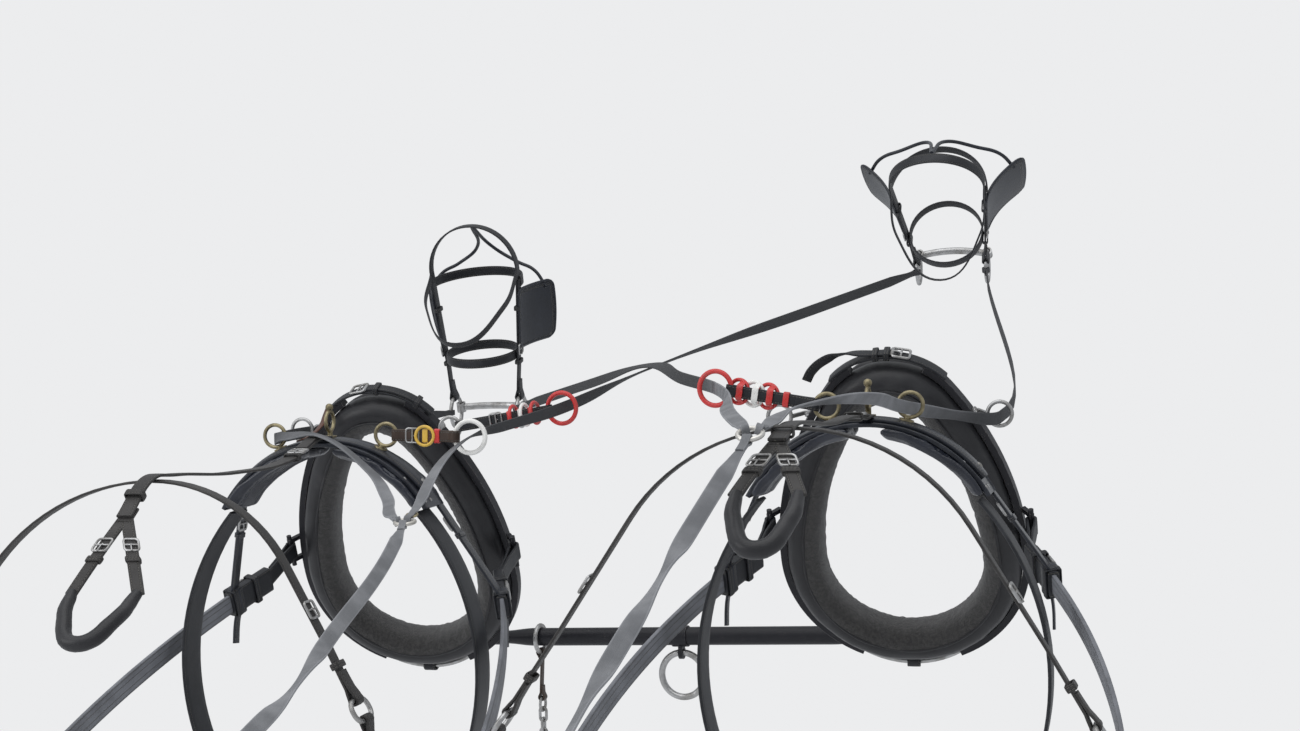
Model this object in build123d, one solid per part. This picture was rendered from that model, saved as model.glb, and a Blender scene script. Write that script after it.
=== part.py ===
from build123d import *
import os
from math import acos, asin, atan2, cos, degrees, radians, sin, sqrt, tan

# Pair driving harness in its worn shape: two sets, a neck yoke, spreaders and crossed reins.
# Millimetres. +X right, +Y forward, +Z up. The origin is on the spine line under the near pad.
# Each set is drawn about its own origin, on the spine line under its pad, then moved to its place.

os.makedirs("parts", exist_ok=True)

# Gaps
seat = 0.3
turn_play = 0.6

straight = 1e6

# Leather sizes
strap_thick = 5.0
strap_width = 26.0
turn_thick = 4.0
trace_width = 40.0
trace_thick = 8.0
rein_width = 23.0
rein_thick = 3.6

# Pad sizes
back_radius = 215.0
back_top = -15.0
panel_thick = 18.0
panel_length = 132.0
panel_start = 6.0
panel_end = 60.0
saddle_thick = 6.0
saddle_length = 96.0
saddle_end = 61.0
ridge_thick = 9.0
ridge_length = 54.0
ridge_end = 54.0
terret_radius = 21.5
terret_wire = 3.6
terret_stem = 4.0
terret_base = 13.0
terret_base_thick = 4.0
hook_ring_radius = 19.0
hook_ball = 7.5

# Girth sizes
girth_y = -16.0
girth_width = 72.0
girth_thick = 7.0
girth_half = 302.0
girth_side_z = -420.0
girth_depth = 372.0

# Back strap and croup sizes
croup_y = -705.0
dock_y = -900.0
fork_width = 20.0
crupper_wire = 11.0
oval_half = 17.0
oval_wire = 4.0
oval_bar = 15.0

# Collar and hame sizes, in the plane of the collar
collar_half = 225.0
collar_side_radius = 615.0
collar_top_angle = 36.4
collar_widest = -100.0
collar_lean = 25.0
collar_y = 362.0
collar_wall = 37.0
collar_depth = 43.0
rim_radius = 13.0
hame_thick = 13.0
hame_width = 22.0
hame_low_angle = -66.0
hame_high_angle = 24.0
hame_ring_radius = 22.0
link_wire = 5.0
link_sag = 8.0
link_gap = 1.1

# Traces, in their own sloping plane
trace_slope = 22.0
trace_widest = -540.0
trace_front = 245.0
trace_front_half = 258.0
trace_end = -1490.0
trace_end_half = 372.0
tug_wall = 6.0
tug_overlap = 92.0
tug_loop_length = 24.0
tug_neck_width = 34.0
draft_arm = 9.0
eye_bore = 15.0
eye_wall = 7.0
eye_thick = 10.0

# Bridle sizes, about the poll, with the face along -Z and the brow towards +Y
cheek_half = 104.0
cheek_low_half = 80.0
crown_drop = 94.0
cheek_width = 24.0
bit_drop = 430.0
bit_set_back = -15.0
bit_ring_radius = 36.0
bit_wire = 4.5
mouth_radius = 8.0
blinker_top = 140.0
blinker_height = 138.0
blinker_thick = 5.0
blinker_reach = 92.0
blinker_corner = 16.0
stay_radius = 4.0
band_width = 22.0
nose_drop = 292.0
nose_front = 82.0

# Rein rings and tips
split_ring_radius = 17.0
split_ring_wire = 3.5
rein_tip_width = 12.0

# Neck yoke
yoke_radius = 19.5
yoke_tip_radius = 14.0
yoke_inset = 78.0
yoke_ring_radius = 48.0
yoke_ring_wire = 7.0
tip_ring_radius = 24.0
tip_ring_wire = 5.0
slip_ring_x = 208.0
slip_ring_wire = 5.0
slip_ring_radius = 29.0
chain_wire = 3.2
chain_half = 15.0
chain_ring_radius = 15.0
chain_strap_length = 100.0
chain_strap_width = 18.0
chain_links = 3

# Rings on the spreaders
big_ring_radius = 30.5
big_ring_wire = 4.5
small_ring_radius = 16.5
small_ring_wire = 3.0
spreader_width = 22.0
spreader_thick = 4.5

# One row for each set. Places are in pair coordinates, the rest about the set's own origin.
# A hip strap's side is its radius over the croup, the angle it turns through and its straight drop.
sets = {
    "near": dict(place=(0, 0, 0), terret_x=103, waist_z=-8, loin_z=-16, croup_z=-6,
                 hip_left=(375, 50, 170), hip_right=(250, 62, 240), fork_y=-793, fork_z=-50,
                 fork_mid=14, fork_half=57, fork_drop=-160, trace_half=410, trace_z=-385,
                 collar_z=-202, poll=(20, 780, 440), face_pitch=75, blinker_flare=42,
                 hame_ring=(161, 230, 21), tail_start=-8, tail_end=52, yoke_ring=(30, 652, -472)),
    "off": dict(place=(1070, -155, 35), terret_x=65, waist_z=30, loin_z=30, croup_z=41,
                hip_left=(285, 56, 340), hip_right=(285, 59, 315), fork_y=-800, fork_z=35,
                fork_mid=2, fork_half=44, fork_drop=-34, trace_half=440, trace_z=-347,
                collar_z=-184, poll=(0, 985, 520), face_pitch=30, blinker_flare=68,
                hame_ring=(203, 236, 8), tail_start=-46, tail_end=8, yoke_ring=(-30, 712, -474)),
}

# Ends of the reins and rings that hang from the spreaders, in pair coordinates
white_ring_at = (285, 0, 17)
near_red_at = (407, 200, 59)
off_red_at = (792, -120, 106)
near_split = (300, -385, -104)
off_split = (1040, -1000, 80)
near_hand = (645, -2300, -364)
off_hand = (949, -2300, -476)
hand_ring = (795, -2420, -470)
crossing_share = 0.21
crossing_rise = 12.0
crossing_lift = 9.5
near_ring_shares = (0.53, 0.65, 0.77)
off_ring_shares = (0.54, 0.72, 0.90)
yellow_ring_share = 0.5


back_centre = back_top - back_radius


# Helpers

def fused(*pieces):
    body = pieces[0]
    for piece in pieces[1:]:
        body = body + piece
    return body


def both_sides(piece):
    return piece + mirror(piece, about=Plane.YZ)


def strip(start, end, flat, width, thick):
    """Straight strap from start to end; flat is the way its width lies."""
    start = Vector(*start)
    run = Vector(*end) - start
    along = run.normalized()
    flat = Vector(*flat)
    flat = flat - along * flat.dot(along)
    section = Plane(origin=start, x_dir=flat, z_dir=along) * Rectangle(width, thick)
    return extrude(section, run.length)


def bent_strap(path, flat, width, thick):
    """Strap swept along a smooth path; flat is the way its width lies at the start."""
    section = Plane(origin=path @ 0, x_dir=flat, z_dir=path % 0) * Rectangle(width, thick)
    return sweep(section, path=path)


def bent_rod(path, radius):
    return sweep(Plane(origin=path @ 0, z_dir=path % 0) * Circle(radius), path=path)


def ring(centre, axis, radius, wire):
    return Plane(origin=centre, z_dir=axis) * Torus(radius, wire)


def turn_inner(wire, width, bend):
    """Bore of a strap's turn that clears a wire bent to the given radius over the strap's width."""
    swing = asin(width / (2 * bend))
    return wire / cos(swing) + bend * (1 - cos(swing)) + turn_play


def turn(centre, axis, wire, width, bend=straight):
    """Strap end turned round a wire: a short tube."""
    inner = turn_inner(wire, width, bend)
    tube = Cylinder(inner + turn_thick, width) - Cylinder(inner, width)
    return Plane(origin=centre, z_dir=axis) * tube


def turn_reach(wire, width, bend=straight):
    """Distance from a wire's centre to the middle of the strap's turn."""
    return turn_inner(wire, width, bend) + turn_thick / 2


def arc_band(inner, outer, half_angle, start_angle=0):
    """Flat band about the origin, from start_angle to half_angle right of straight up."""
    sweep_angle = half_angle - start_angle
    low = CenterArc((0, 0), inner, 90 - half_angle, sweep_angle)
    high = CenterArc((0, 0), outer, 90 - half_angle, sweep_angle)
    return make_face([low, high, Line(low @ 0, high @ 0), Line(low @ 1, high @ 1)])


def across_back(face, length):
    """Extrude a band drawn about the back's centre along the spine."""
    return Pos(0, 0, back_centre) * extrude(Plane.XZ * face, length / 2, both=True)


# Pad

def pad_panels():
    panel = across_back(arc_band(back_radius, back_radius + panel_thick, panel_end, panel_start),
                        panel_length)
    panel = fillet(panel.edges().filter_by(Axis.Y, reverse=True), 7)
    return both_sides(panel)


saddle_inner = back_radius + panel_thick + seat
saddle_outer = saddle_inner + saddle_thick
ridge_outer = saddle_outer + ridge_thick


def pad_saddle(row):
    line = TraceLine(row)
    skirt = across_back(arc_band(saddle_inner, saddle_outer, saddle_end, -saddle_end), saddle_length)
    ridge_face = arc_band(saddle_outer - 1, ridge_outer, ridge_end, -ridge_end)
    ridge = across_back(ridge_face, ridge_length)
    ridge = fillet(ridge.edges().group_by(Axis.Y)[0] + ridge.edges().group_by(Axis.Y)[-1], 3.5)
    billet_start = back_point(saddle_inner + saddle_thick / 2, saddle_end - 1,
                              saddle_length / 2 - strap_width / 2)
    billet = strip(billet_start, tug_sleeve_place(line), (0, 1, 0), strap_width, saddle_thick)
    sleeve, hole = line.sleeve(billet_s, trace_thick + 2 * tug_wall, trace_width + 2 * tug_wall,
                               tug_loop_length)
    return fused(skirt, ridge) + both_sides(fused(billet, sleeve) - hole)


def back_point(radius, angle, y=0):
    """Point at a radius about the back's centre, at an angle right of straight up."""
    return (radius * sin(radians(angle)), y, radius * cos(radians(angle)) + back_centre)


def on_pad(piece, x):
    """Stand a piece on the ridge of the pad, x to the right of the spine."""
    angle = degrees(asin(x / ridge_outer))
    return Pos(0, 0, back_centre) * Rot(0, angle, 0) * Pos(0, 0, ridge_outer + seat) * piece


terret_height = terret_base_thick + terret_stem + terret_radius


def terret():
    base = Pos(0, 0, terret_base_thick / 2) * Cylinder(terret_base, terret_base_thick)
    stem = Pos(0, 0, terret_base_thick + terret_stem / 2) * Cylinder(4.5, terret_stem + 1)
    loop = ring((0, 0, terret_height), (0, 1, 0), terret_radius, terret_wire)
    return fused(base, stem, loop)


def centre_hook():
    base = Pos(0, 0, terret_base_thick / 2) * Cylinder(terret_base, terret_base_thick)
    stem = Pos(0, 0, terret_base_thick + 5) * Cylinder(5, 12)
    ring_z = terret_base_thick + 9 + hook_ring_radius
    loop = ring((0, 0, ring_z), (1, 0, 0), hook_ring_radius, terret_wire)
    ball = Pos(0, 0, ring_z + hook_ring_radius + hook_ball) * Sphere(hook_ball)
    return fused(base, stem, loop, ball)


def pad_terrets(row):
    return on_pad(terret(), row["terret_x"]) + on_pad(terret(), -row["terret_x"]) + on_pad(centre_hook(), 0)


# Traces and tugs. Their plane slopes down to the rear; s runs forward in it.

slope_cos = cos(radians(trace_slope))
slope_sin = sin(radians(trace_slope))


def arc_radius(half, end_half, run):
    return ((half - end_half) ** 2 + run ** 2) / (2 * (half - end_half))


class TraceLine:
    """The right trace of one set: two arcs in a plane that slopes down to the rear."""

    def __init__(self, row):
        self.half = row["trace_half"]
        self.plane = Plane(origin=(0, 0, row["trace_z"]), x_dir=(1, 0, 0), z_dir=(0, -slope_sin, slope_cos))
        self.front_radius = arc_radius(self.half, trace_front_half, trace_front - trace_widest)
        self.rear_radius = arc_radius(self.half, trace_end_half, trace_widest - trace_end)

    def frame(self, s, shift=0):
        """Plane across the trace at s: x outward, z forward along it."""
        radius = self.front_radius if s > trace_widest else self.rear_radius
        turn_angle = asin((s - trace_widest) / radius)
        x = self.half - radius + (radius + shift) * cos(turn_angle)
        y = s + shift * sin(turn_angle)
        out = (cos(turn_angle), sin(turn_angle), 0)
        return Plane(origin=(x, y, 0), x_dir=out, z_dir=(-sin(turn_angle), cos(turn_angle), 0))

    def lift(self, shape):
        """Lift a shape drawn in the trace's plane into the set."""
        return self.plane.location * shape

    def strap(self, start, end, width, thick):
        """Stretch of the trace from s = start forward to s = end, start and end in one arc."""
        low = self.frame(start)
        high = self.frame(end)
        path = TangentArc(low.origin, high.origin, tangent=low.z_dir)
        section = Plane(origin=low.origin, x_dir=low.x_dir, z_dir=low.z_dir) * Rectangle(thick, width)
        return sweep(section, path=path)

    def sleeve(self, s, thick, width, length):
        """Strap loop round the trace at s, and the hole in it; thick and width are what it goes round."""
        hole = Rectangle(thick + 2 * seat, width + 2 * seat)
        outside = Rectangle(thick + 2 * (seat + turn_thick), width + 2 * (seat + turn_thick))
        loop = extrude(self.frame(s) * (outside - hole), length / 2, both=True)
        return self.lift(loop), self.lift(extrude(self.frame(s) * hole, length, both=True))


billet_s = trace_front - tug_overlap + tug_loop_length / 2 + 4


def tug_sleeve_place(line):
    """Top of the billet's loop round the tug, at its inner side."""
    frame = line.frame(billet_s, -turn_thick)
    local = frame.origin + Vector(0, 0, trace_width / 2 + tug_wall + seat + turn_thick / 2)
    return line.plane.from_local_coords(local)


def traces(row):
    line = TraceLine(row)
    front = line.strap(trace_widest, trace_front, trace_width, trace_thick)
    rear = line.strap(trace_end, trace_widest, trace_width, trace_thick)
    return both_sides(line.lift(fused(front, rear)))


def collar_hame_x(v):
    """Middle of the hame beside the collar at height v in the collar's plane."""
    radius = collar_side_radius + seat + hame_thick / 2
    return collar_half - collar_side_radius + sqrt(radius ** 2 - (v - collar_widest) ** 2)


def draft_v(row):
    """Height in the collar's plane at which the traces' plane meets it."""
    rise = slope_sin / slope_cos
    lean = radians(collar_lean)
    return (row["trace_z"] + rise * collar_y - row["collar_z"]) / (cos(lean) + rise * sin(lean))


def tug_eye(row):
    """Where the draft pin stands, in the traces' plane."""
    x = (collar_hame_x(draft_v(row)) + hame_thick / 2 + turn_inner(link_wire, trace_width, straight)
         + turn_thick + 5)
    s = (collar_y - draft_v(row) * sin(radians(collar_lean))) / slope_cos - 26
    return Vector(x, s, 0)


def tugs(row):
    """Hame tugs: two layers that hold the trace's front, then one strap to the hame."""
    line = TraceLine(row)
    start = trace_front - tug_overlap
    thick = trace_thick + 2 * tug_wall
    outer = line.strap(start, trace_front + 14, trace_width + 2 * tug_wall, thick)
    inside = line.strap(start - 10, trace_front + seat, trace_width + 2 * seat, trace_thick + 2 * seat)
    front = line.frame(trace_front + 12).origin
    eye = tug_eye(row)
    neck = strip(front, eye - Vector(0, turn_reach(link_wire, trace_width), 0), (0, 0, 1), tug_neck_width,
                 tug_wall * 2)
    loop = turn(eye, (0, 0, 1), link_wire, tug_neck_width)
    return both_sides(line.lift(fused(outer - inside, neck, loop)))


def trace_eyes(row):
    """Steel eye plates on the rear ends of the traces."""
    line = TraceLine(row)
    frame = line.frame(trace_end)
    plate = Plane(origin=frame.origin, x_dir=frame.z_dir, z_dir=frame.x_dir)
    radius = eye_bore + eye_wall
    reach = radius + 8
    disc = Pos(-reach, 0, 0) * Cylinder(radius, eye_thick)
    neck = Pos(-reach / 2 - seat / 2, 0, 0) * Box(reach - seat, trace_width * 0.7, eye_thick)
    hole = Pos(-reach, 0, 0) * Cylinder(eye_bore, eye_thick * 3)
    return both_sides(line.lift(plate.location * (fused(disc, neck) - hole)))


# Girth

def girth():
    low = EllipticalCenterArc((0, girth_side_z), girth_half, girth_depth, 180, arc_size=180)
    start = radians(panel_end + 0.28)
    top = (cos(radians(90) - start) * (back_radius + girth_thick / 2),
           sin(radians(90) - start) * (back_radius + girth_thick / 2) + back_centre)
    right = TangentArc((girth_half, girth_side_z), top, tangent=(0, 1))
    left = TangentArc((-girth_half, girth_side_z), (-top[0], top[1]), tangent=(0, 1))
    belt = bent_strap(Plane.XZ * low, (0, 1, 0), girth_width, girth_thick)
    sides = [bent_strap(Plane.XZ * side, (0, 1, 0), girth_width, girth_thick) for side in (right, left)]
    return Pos(0, girth_y, 0) * fused(belt, *sides)


# Back strap, crupper and hip strap

def spine_points(row):
    """Middle line of the back strap, from the pad to the fork."""
    over = strap_thick / 2
    top = ridge_outer + back_centre + seat + over
    croup = row["croup_z"] + strap_thick + seat + over
    return [(0, -18, top), (0, -58, top), (0, -190, row["waist_z"]), (0, -430, row["loin_z"] + over),
            (0, croup_y + 50, croup), (0, croup_y - 22, croup), (0, row["fork_y"] - 14, row["fork_z"])]


def back_strap(row):
    return bent_strap(FilletPolyline(*spine_points(row), radius=40), (1, 0, 0), strap_width, strap_thick)


def crupper(row):
    """Fork under the back strap's end, and the padded loop below the dock."""
    rear = Vector(*spine_points(row)[-1])
    front = Vector(*spine_points(row)[-2])
    way = (rear - front).normalized()
    under = Vector(0, way.Z, -way.Y) * (strap_thick + 3 * seat)
    split = rear - under
    tab = strip(split - way * 26, split + way * 6, (1, 0, 0), strap_width, strap_thick)
    pieces = [tab]
    ends = []
    for side in (-1, 1):
        end = Vector(row["fork_mid"] + side * row["fork_half"], dock_y, row["fork_drop"])
        start = split + Vector(side * 4, 0, -1)
        pieces.append(strip(start, end, (1, 0, 0), fork_width, strap_thick))
        ends.append(end - (end - start).normalized() * 6)
    low = Vector(row["fork_mid"], dock_y - 86, row["fork_drop"] - 60)
    pieces.append(bent_rod(ThreePointArc(ends[0], low, ends[1]), crupper_wire))
    return fused(*pieces)


class HipSide:
    """One side of the hip strap, drawn for the right: an arc over the croup, then a straight drop."""

    def __init__(self, row, side):
        self.radius, angle, self.drop = row[side]
        self.angle = radians(angle)
        self.centre_z = row["croup_z"] - self.radius
        self.way = Vector(cos(self.angle), 0, -sin(self.angle))
        self.out = Vector(sin(self.angle), 0, cos(self.angle))
        self.bend = Vector(0, croup_y, self.centre_z) + self.out * (self.radius + strap_thick / 2)
        self.end = self.bend + self.way * self.drop


def hip_sides(row, draw):
    """What draw makes for each side of the hip strap, the left side mirrored."""
    return [draw(HipSide(row, "hip_right")), mirror(draw(HipSide(row, "hip_left")), about=Plane.YZ)]


def hip_strap(row):
    """Strap over the croup, a turn on the upper bar of each oval ring, and a tail to the trace."""
    line = TraceLine(row)
    sleeve_s = croup_y / slope_cos + 8
    reach = turn_reach(oval_wire, strap_width)
    sleeve_top = line.frame(sleeve_s).origin + Vector(0, 0, trace_width / 2 + seat + turn_thick / 2)
    sleeve_top = line.plane.from_local_coords(sleeve_top)

    def crown(side):
        face = arc_band(side.radius, side.radius + strap_thick, degrees(side.angle))
        arch = Pos(0, croup_y, side.centre_z) * extrude(Plane.XZ * face, strap_width / 2, both=True)
        drop = strip(side.bend, side.end - side.way * reach, (0, 1, 0), strap_width, strap_thick)
        return fused(arch, drop, turn(side.end, (0, 1, 0), oval_wire, strap_width))

    def tail(side):
        low_bar = side.end + side.way * (2 * oval_half)
        tail_way = (sleeve_top - low_bar).normalized()
        strap = strip(low_bar + tail_way * reach, sleeve_top, (0, 1, 0), strap_width, strap_thick)
        sleeve, hole = line.sleeve(sleeve_s, trace_thick, trace_width, strap_width)
        return fused(strap - hole, turn(low_bar, (0, 1, 0), oval_wire, strap_width), sleeve)

    return [fused(*hip_sides(row, crown)), *hip_sides(row, tail)]


def strap_loops(row):
    """Oval steel rings of the hip strap."""

    def oval(side):
        plane = Plane(origin=side.end + side.way * oval_half, x_dir=(0, 1, 0), z_dir=side.out)
        corner = oval_half - 1
        path = plane * RectangleRounded(2 * (oval_bar + corner), 2 * oval_half, corner).wire()
        return bent_rod(path, oval_wire)

    return hip_sides(row, oval)


# Collar and hames

def collar_plane(row):
    lean = radians(collar_lean)
    return Plane(origin=(0, collar_y, row["collar_z"]), x_dir=(1, 0, 0), z_dir=(0, -cos(lean), -sin(lean)))


side_reach = collar_side_radius - collar_half
collar_top_radius = collar_side_radius - side_reach / cos(radians(collar_top_angle))
collar_top_v = collar_widest + side_reach * tan(radians(collar_top_angle))


def egg(offset):
    """The collar's outline, moved outward by offset: a wide bottom, long sides and a narrow top."""
    low = CenterArc((0, collar_widest), collar_half + offset, 180, 180)
    right = CenterArc((-side_reach, collar_widest), collar_side_radius + offset, 0, collar_top_angle)
    top = CenterArc((0, collar_top_v), collar_top_radius + offset, collar_top_angle,
                    180 - 2 * collar_top_angle)
    left = CenterArc((side_reach, collar_widest), collar_side_radius + offset, 180 - collar_top_angle,
                     collar_top_angle)
    return Wire([*low.edges(), *right.edges(), *top.edges(), *left.edges()])


def collar(row):
    middle = egg(-collar_wall)
    section = Plane(origin=middle @ 0, x_dir=(1, 0, 0), z_dir=middle % 0) * Ellipse(collar_wall, collar_depth)
    body = sweep(section, path=middle)
    front = Pos(0, 0, -collar_depth + 6) * egg(-rim_radius - 6)
    rim = bent_rod(front, rim_radius)
    return collar_plane(row).location * fused(body, rim)


def hame_path():
    offset = seat + hame_thick / 2
    low = CenterArc((0, collar_widest), collar_half + offset, hame_low_angle, -hame_low_angle)
    side = CenterArc((-side_reach, collar_widest), collar_side_radius + offset, 0, collar_top_angle)
    high = CenterArc((0, collar_top_v), collar_top_radius + offset, collar_top_angle, hame_high_angle)
    return Wire([*low.edges(), *side.edges(), *high.edges()])


def hames(row):
    """Steel bars in the collar's groove, with a draft link on the outside of each."""
    path = hame_path()
    section = Plane(origin=path @ 0, x_dir=(0, 0, 1), z_dir=path % 0) * Rectangle(hame_width, hame_thick)
    bar = sweep(section, path=path)
    bar = collar_plane(row).location * bar
    plane = TraceLine(row).plane
    eye = plane.from_local_coords(tug_eye(row))
    pin_way = plane.z_dir
    pin_half = tug_neck_width / 2 + 2 * draft_arm
    arm_at = tug_neck_width / 2 + 1 + draft_arm / 2
    pin = (Plane(origin=eye - pin_way * pin_half, z_dir=pin_way) * Pos(0, 0, pin_half)
           * Cylinder(link_wire, 2 * pin_half))
    draft = draft_v(row)
    hame_mid = collar_plane(row).from_local_coords((collar_hame_x(draft) + hame_thick / 2 - 2, draft, 0))
    arms = []
    for side in (-1, 1):
        tip = eye + pin_way * (side * arm_at)
        root = hame_mid + pin_way * (side * arm_at)
        arms.append(strip(root, tip + (tip - root).normalized() * 4, pin_way, draft_arm, draft_arm))
    return both_sides(fused(bar, pin, *arms))


def hame_rings(row):
    """Rein rings on short stalks, level with the upper third of each hame."""
    centre = Vector(*row["hame_ring"])
    v = (centre.Z - row["collar_z"]) / cos(radians(collar_lean))
    angle = asin((v - collar_widest) / (collar_side_radius + seat + hame_thick / 2))
    reach = collar_side_radius + hame_thick + 2 * seat
    out = Vector(cos(angle), sin(angle), 0)
    foot = Vector(-side_reach, collar_widest, 0) + out * reach
    base = collar_plane(row).location * (Plane(origin=foot, z_dir=out) * Pos(0, 0, 2.5) * Cylinder(8, 5))
    root = collar_plane(row).from_local_coords(foot + out * 5.5)
    rim = centre - Vector(hame_ring_radius, 0, 0)
    stalk = strip(root, rim + (rim - root).normalized(), (0, 0, 1), 7, 7)
    loop = ring(centre, (0, 1, 0), hame_ring_radius, terret_wire)
    return both_sides(fused(base, stalk, loop))


# Straps that tie the hames together

hame_strap_inner = collar_top_radius + seat + hame_thick + seat
hame_strap_angle = 47.0


def on_collar_top(face, length, row):
    """Extrude a band drawn about the collar's top arc, across the collar's plane."""
    lift = Pos(0, collar_top_v, 0) * extrude(face, length / 2, both=True)
    return collar_plane(row).location * lift


def hame_strap(row):
    """Strap over the collar from hame to hame, with the buckled end's free tail on top."""
    outer = hame_strap_inner + strap_thick
    main = on_collar_top(arc_band(hame_strap_inner, outer, hame_strap_angle, -hame_strap_angle),
                         strap_width, row)
    tail_face = arc_band(outer + seat, outer + seat + strap_thick, row["tail_end"], row["tail_start"])
    tail = on_collar_top(tail_face, strap_width - 4, row)
    return main + tail


def hame_link(row):
    """Steel link that closes the hames below the collar."""
    return collar_plane(row).location * bent_rod(link_path(), link_wire)


def link_path():
    radius = collar_half + seat + hame_thick / 2
    angle = radians(hame_low_angle) - link_gap / radius
    end = (radius * cos(angle), collar_widest + radius * sin(angle))
    return ThreePointArc((-end[0], end[1]), (0, collar_widest - radius - link_sag), end)


def link_bottom(row):
    return collar_plane(row).from_local_coords(link_path() @ 0.5)


def breast_strap(row):
    """Short strap from the hames' link to the ring at this end of the yoke."""
    link = link_bottom(row)
    tip = Vector(*row["yoke_ring"]) - Vector(0, tip_ring_radius, 0)
    way = (tip - link).normalized()
    link_bend = link_path().radius
    start = link + way * turn_reach(link_wire, strap_width, link_bend)
    end = tip - way * turn_reach(tip_ring_wire, strap_width, tip_ring_radius)
    strap = strip(start, end, (1, 0, 0), strap_width, strap_thick)
    rear = turn(link, (1, 0, 0), link_wire, strap_width, link_bend)
    front = turn(tip, (1, 0, 0), tip_ring_wire, strap_width, tip_ring_radius)
    return fused(strap, rear, front)


# Bridle, drawn about the poll

def head_plane(row):
    pitch = radians(row["face_pitch"])
    return Plane(origin=row["poll"], x_dir=(1, 0, 0), z_dir=(0, -cos(pitch), sin(pitch)))


def on_head(shape, row):
    return head_plane(row).location * shape


cheek_bottom = bit_drop - bit_ring_radius
cheek_taper = (cheek_half - cheek_low_half) / (cheek_bottom - crown_drop)
leather = 4.0
crown_top = cheek_half - crown_drop


def cheek_x(drop):
    """Middle of the cheek strap at a depth below the poll."""
    return cheek_half - (drop - crown_drop) * cheek_taper


def headstall(row):
    crown_face = arc_band(cheek_half - leather / 2, cheek_half + leather / 2, 90, -90)
    crown = Pos(0, 0, -crown_drop) * extrude(Plane.XZ * crown_face, cheek_width / 2, both=True)
    reach = turn_reach(bit_wire, cheek_width, bit_ring_radius)
    low = (cheek_low_half, bit_set_back, -cheek_bottom)
    cheek = strip((cheek_half, 0, -crown_drop), (cheek_low_half, bit_set_back, -cheek_bottom + reach),
                  (0, 1, 0), cheek_width, leather)
    eye = turn(low, (0, 1, 0), bit_wire, cheek_width, bit_ring_radius)
    side = fused(cheek, eye)
    ends = [Vector(x, -4, -crown_drop - 8) for x in (-cheek_half, cheek_half)]
    low_throat = Vector(0, -170, -crown_drop - 130)
    normal = (low_throat - ends[0]).cross(ends[1] - ends[0])
    lash = bent_strap(ThreePointArc(ends[0], low_throat, ends[1]), normal, 16, leather)
    return on_head(fused(crown, side, mirror(side, about=Plane.YZ), lash), row)


def bridle_bands(row):
    """Brow band outside the cheek straps and nose band inside them."""
    brow_half = cheek_half + leather - 0.5
    path = EllipticalCenterArc((0, 0), brow_half, 112, 0, arc_size=180)
    brow = bent_strap(Pos(0, 0, -crown_drop - 30) * path, (0, 0, 1), band_width, leather)
    nose_half = cheek_x(nose_drop) - leather - seat - 1.2
    ring_face = Ellipse(nose_half + leather / 2, nose_front + leather / 2) - Ellipse(
        nose_half - leather / 2, nose_front - leather / 2)
    nose = Pos(0, -8, -nose_drop) * extrude(ring_face, band_width / 2, both=True)
    return on_head(brow + nose, row)


def blinkers(row):
    """Cupped eye shields that flare outward, hung from the middle of the crown by round stays."""
    middle = blinker_top + blinker_height / 2
    tilt = degrees(atan2(cheek_half - cheek_low_half, cheek_bottom - crown_drop))
    root = Pos(cheek_x(middle) + leather / 2 + seat, 0, -middle) * Rot(0, tilt, 0)
    half = blinker_thick / 2
    flare = row["blinker_flare"]
    arc = ThreePointArc((half, -16), (half + flare * 0.36, blinker_reach * 0.48),
                        (half + flare, blinker_reach))
    plate = extrude(trace(arc, blinker_thick), blinker_height / 2, both=True)
    outline = RectangleRounded(blinker_reach + 24, blinker_height - 1, blinker_corner)
    cutter = extrude(Plane.YZ * Pos(blinker_reach / 2 - 6, 0) * outline, 200, both=True)
    plate = root * (plate & cutter)
    end = (root * Pos(half + flare * 0.88, blinker_reach * 0.9, blinker_height / 2 - 8)).position
    start = Vector(0, cheek_width / 2 + seat + stay_radius, crown_top - stay_radius)
    path = Spline(start, Vector(end.X * 0.16, 92, -64), Vector(end.X * 0.55, 98, -101),
                  Vector(end.X * 0.86, 92, -121), end, tangents=[(0.1, 1, 0), (0.1, -0.1, -1)])
    side = fused(plate, bent_rod(path, stay_radius))
    return on_head(fused(side, mirror(side, about=Plane.YZ)), row)


def bit_ring_centre(side):
    return (side * cheek_low_half, bit_set_back, -bit_drop)


def bit(row):
    """Mouthpiece whose ends turn on the fronts of the rings."""
    front = bit_set_back + bit_ring_radius
    inner = turn_inner(bit_wire, 22, bit_ring_radius)
    ends = []
    barrels = []
    for side in (-1, 1):
        barrel = Cylinder(inner + 3.5, 22) - Cylinder(inner, 22)
        barrels.append(Pos(side * cheek_low_half, front, -bit_drop) * barrel)
        ends.append(Vector(side * (cheek_low_half - inner - 1.5), front, -bit_drop))
    bar = bent_rod(ThreePointArc(ends[0], Vector(0, front + 9, -bit_drop), ends[1]), mouth_radius)
    return on_head(fused(bar, *barrels), row)


def bit_ring(row, side):
    return on_head(ring(bit_ring_centre(side), (1, 0, 0), bit_ring_radius, bit_wire), row)


# Hoops

def square_to(way, axis):
    """The axis turned so that it is square to way."""
    return (axis - way * axis.dot(way)).normalized()


forward = Vector(0, 1, 0)
upward = Vector(0, 0, 1)


class Hoop:
    """A round ring: its centre, the way through it, its radius and its wire."""

    def __init__(self, centre, axis, radius, wire):
        self.centre = Vector(*centre)
        self.axis = Vector(*axis).normalized()
        self.radius = radius
        self.wire = wire

    def solid(self):
        return ring(self.centre, self.axis, self.radius, self.wire)

    def rim(self, way):
        """Point of the wire's middle line on the side that way points to, and its tangent."""
        out = square_to(self.axis, way)
        return self.centre + out * self.radius, self.axis.cross(out)


# Neck yoke

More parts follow.
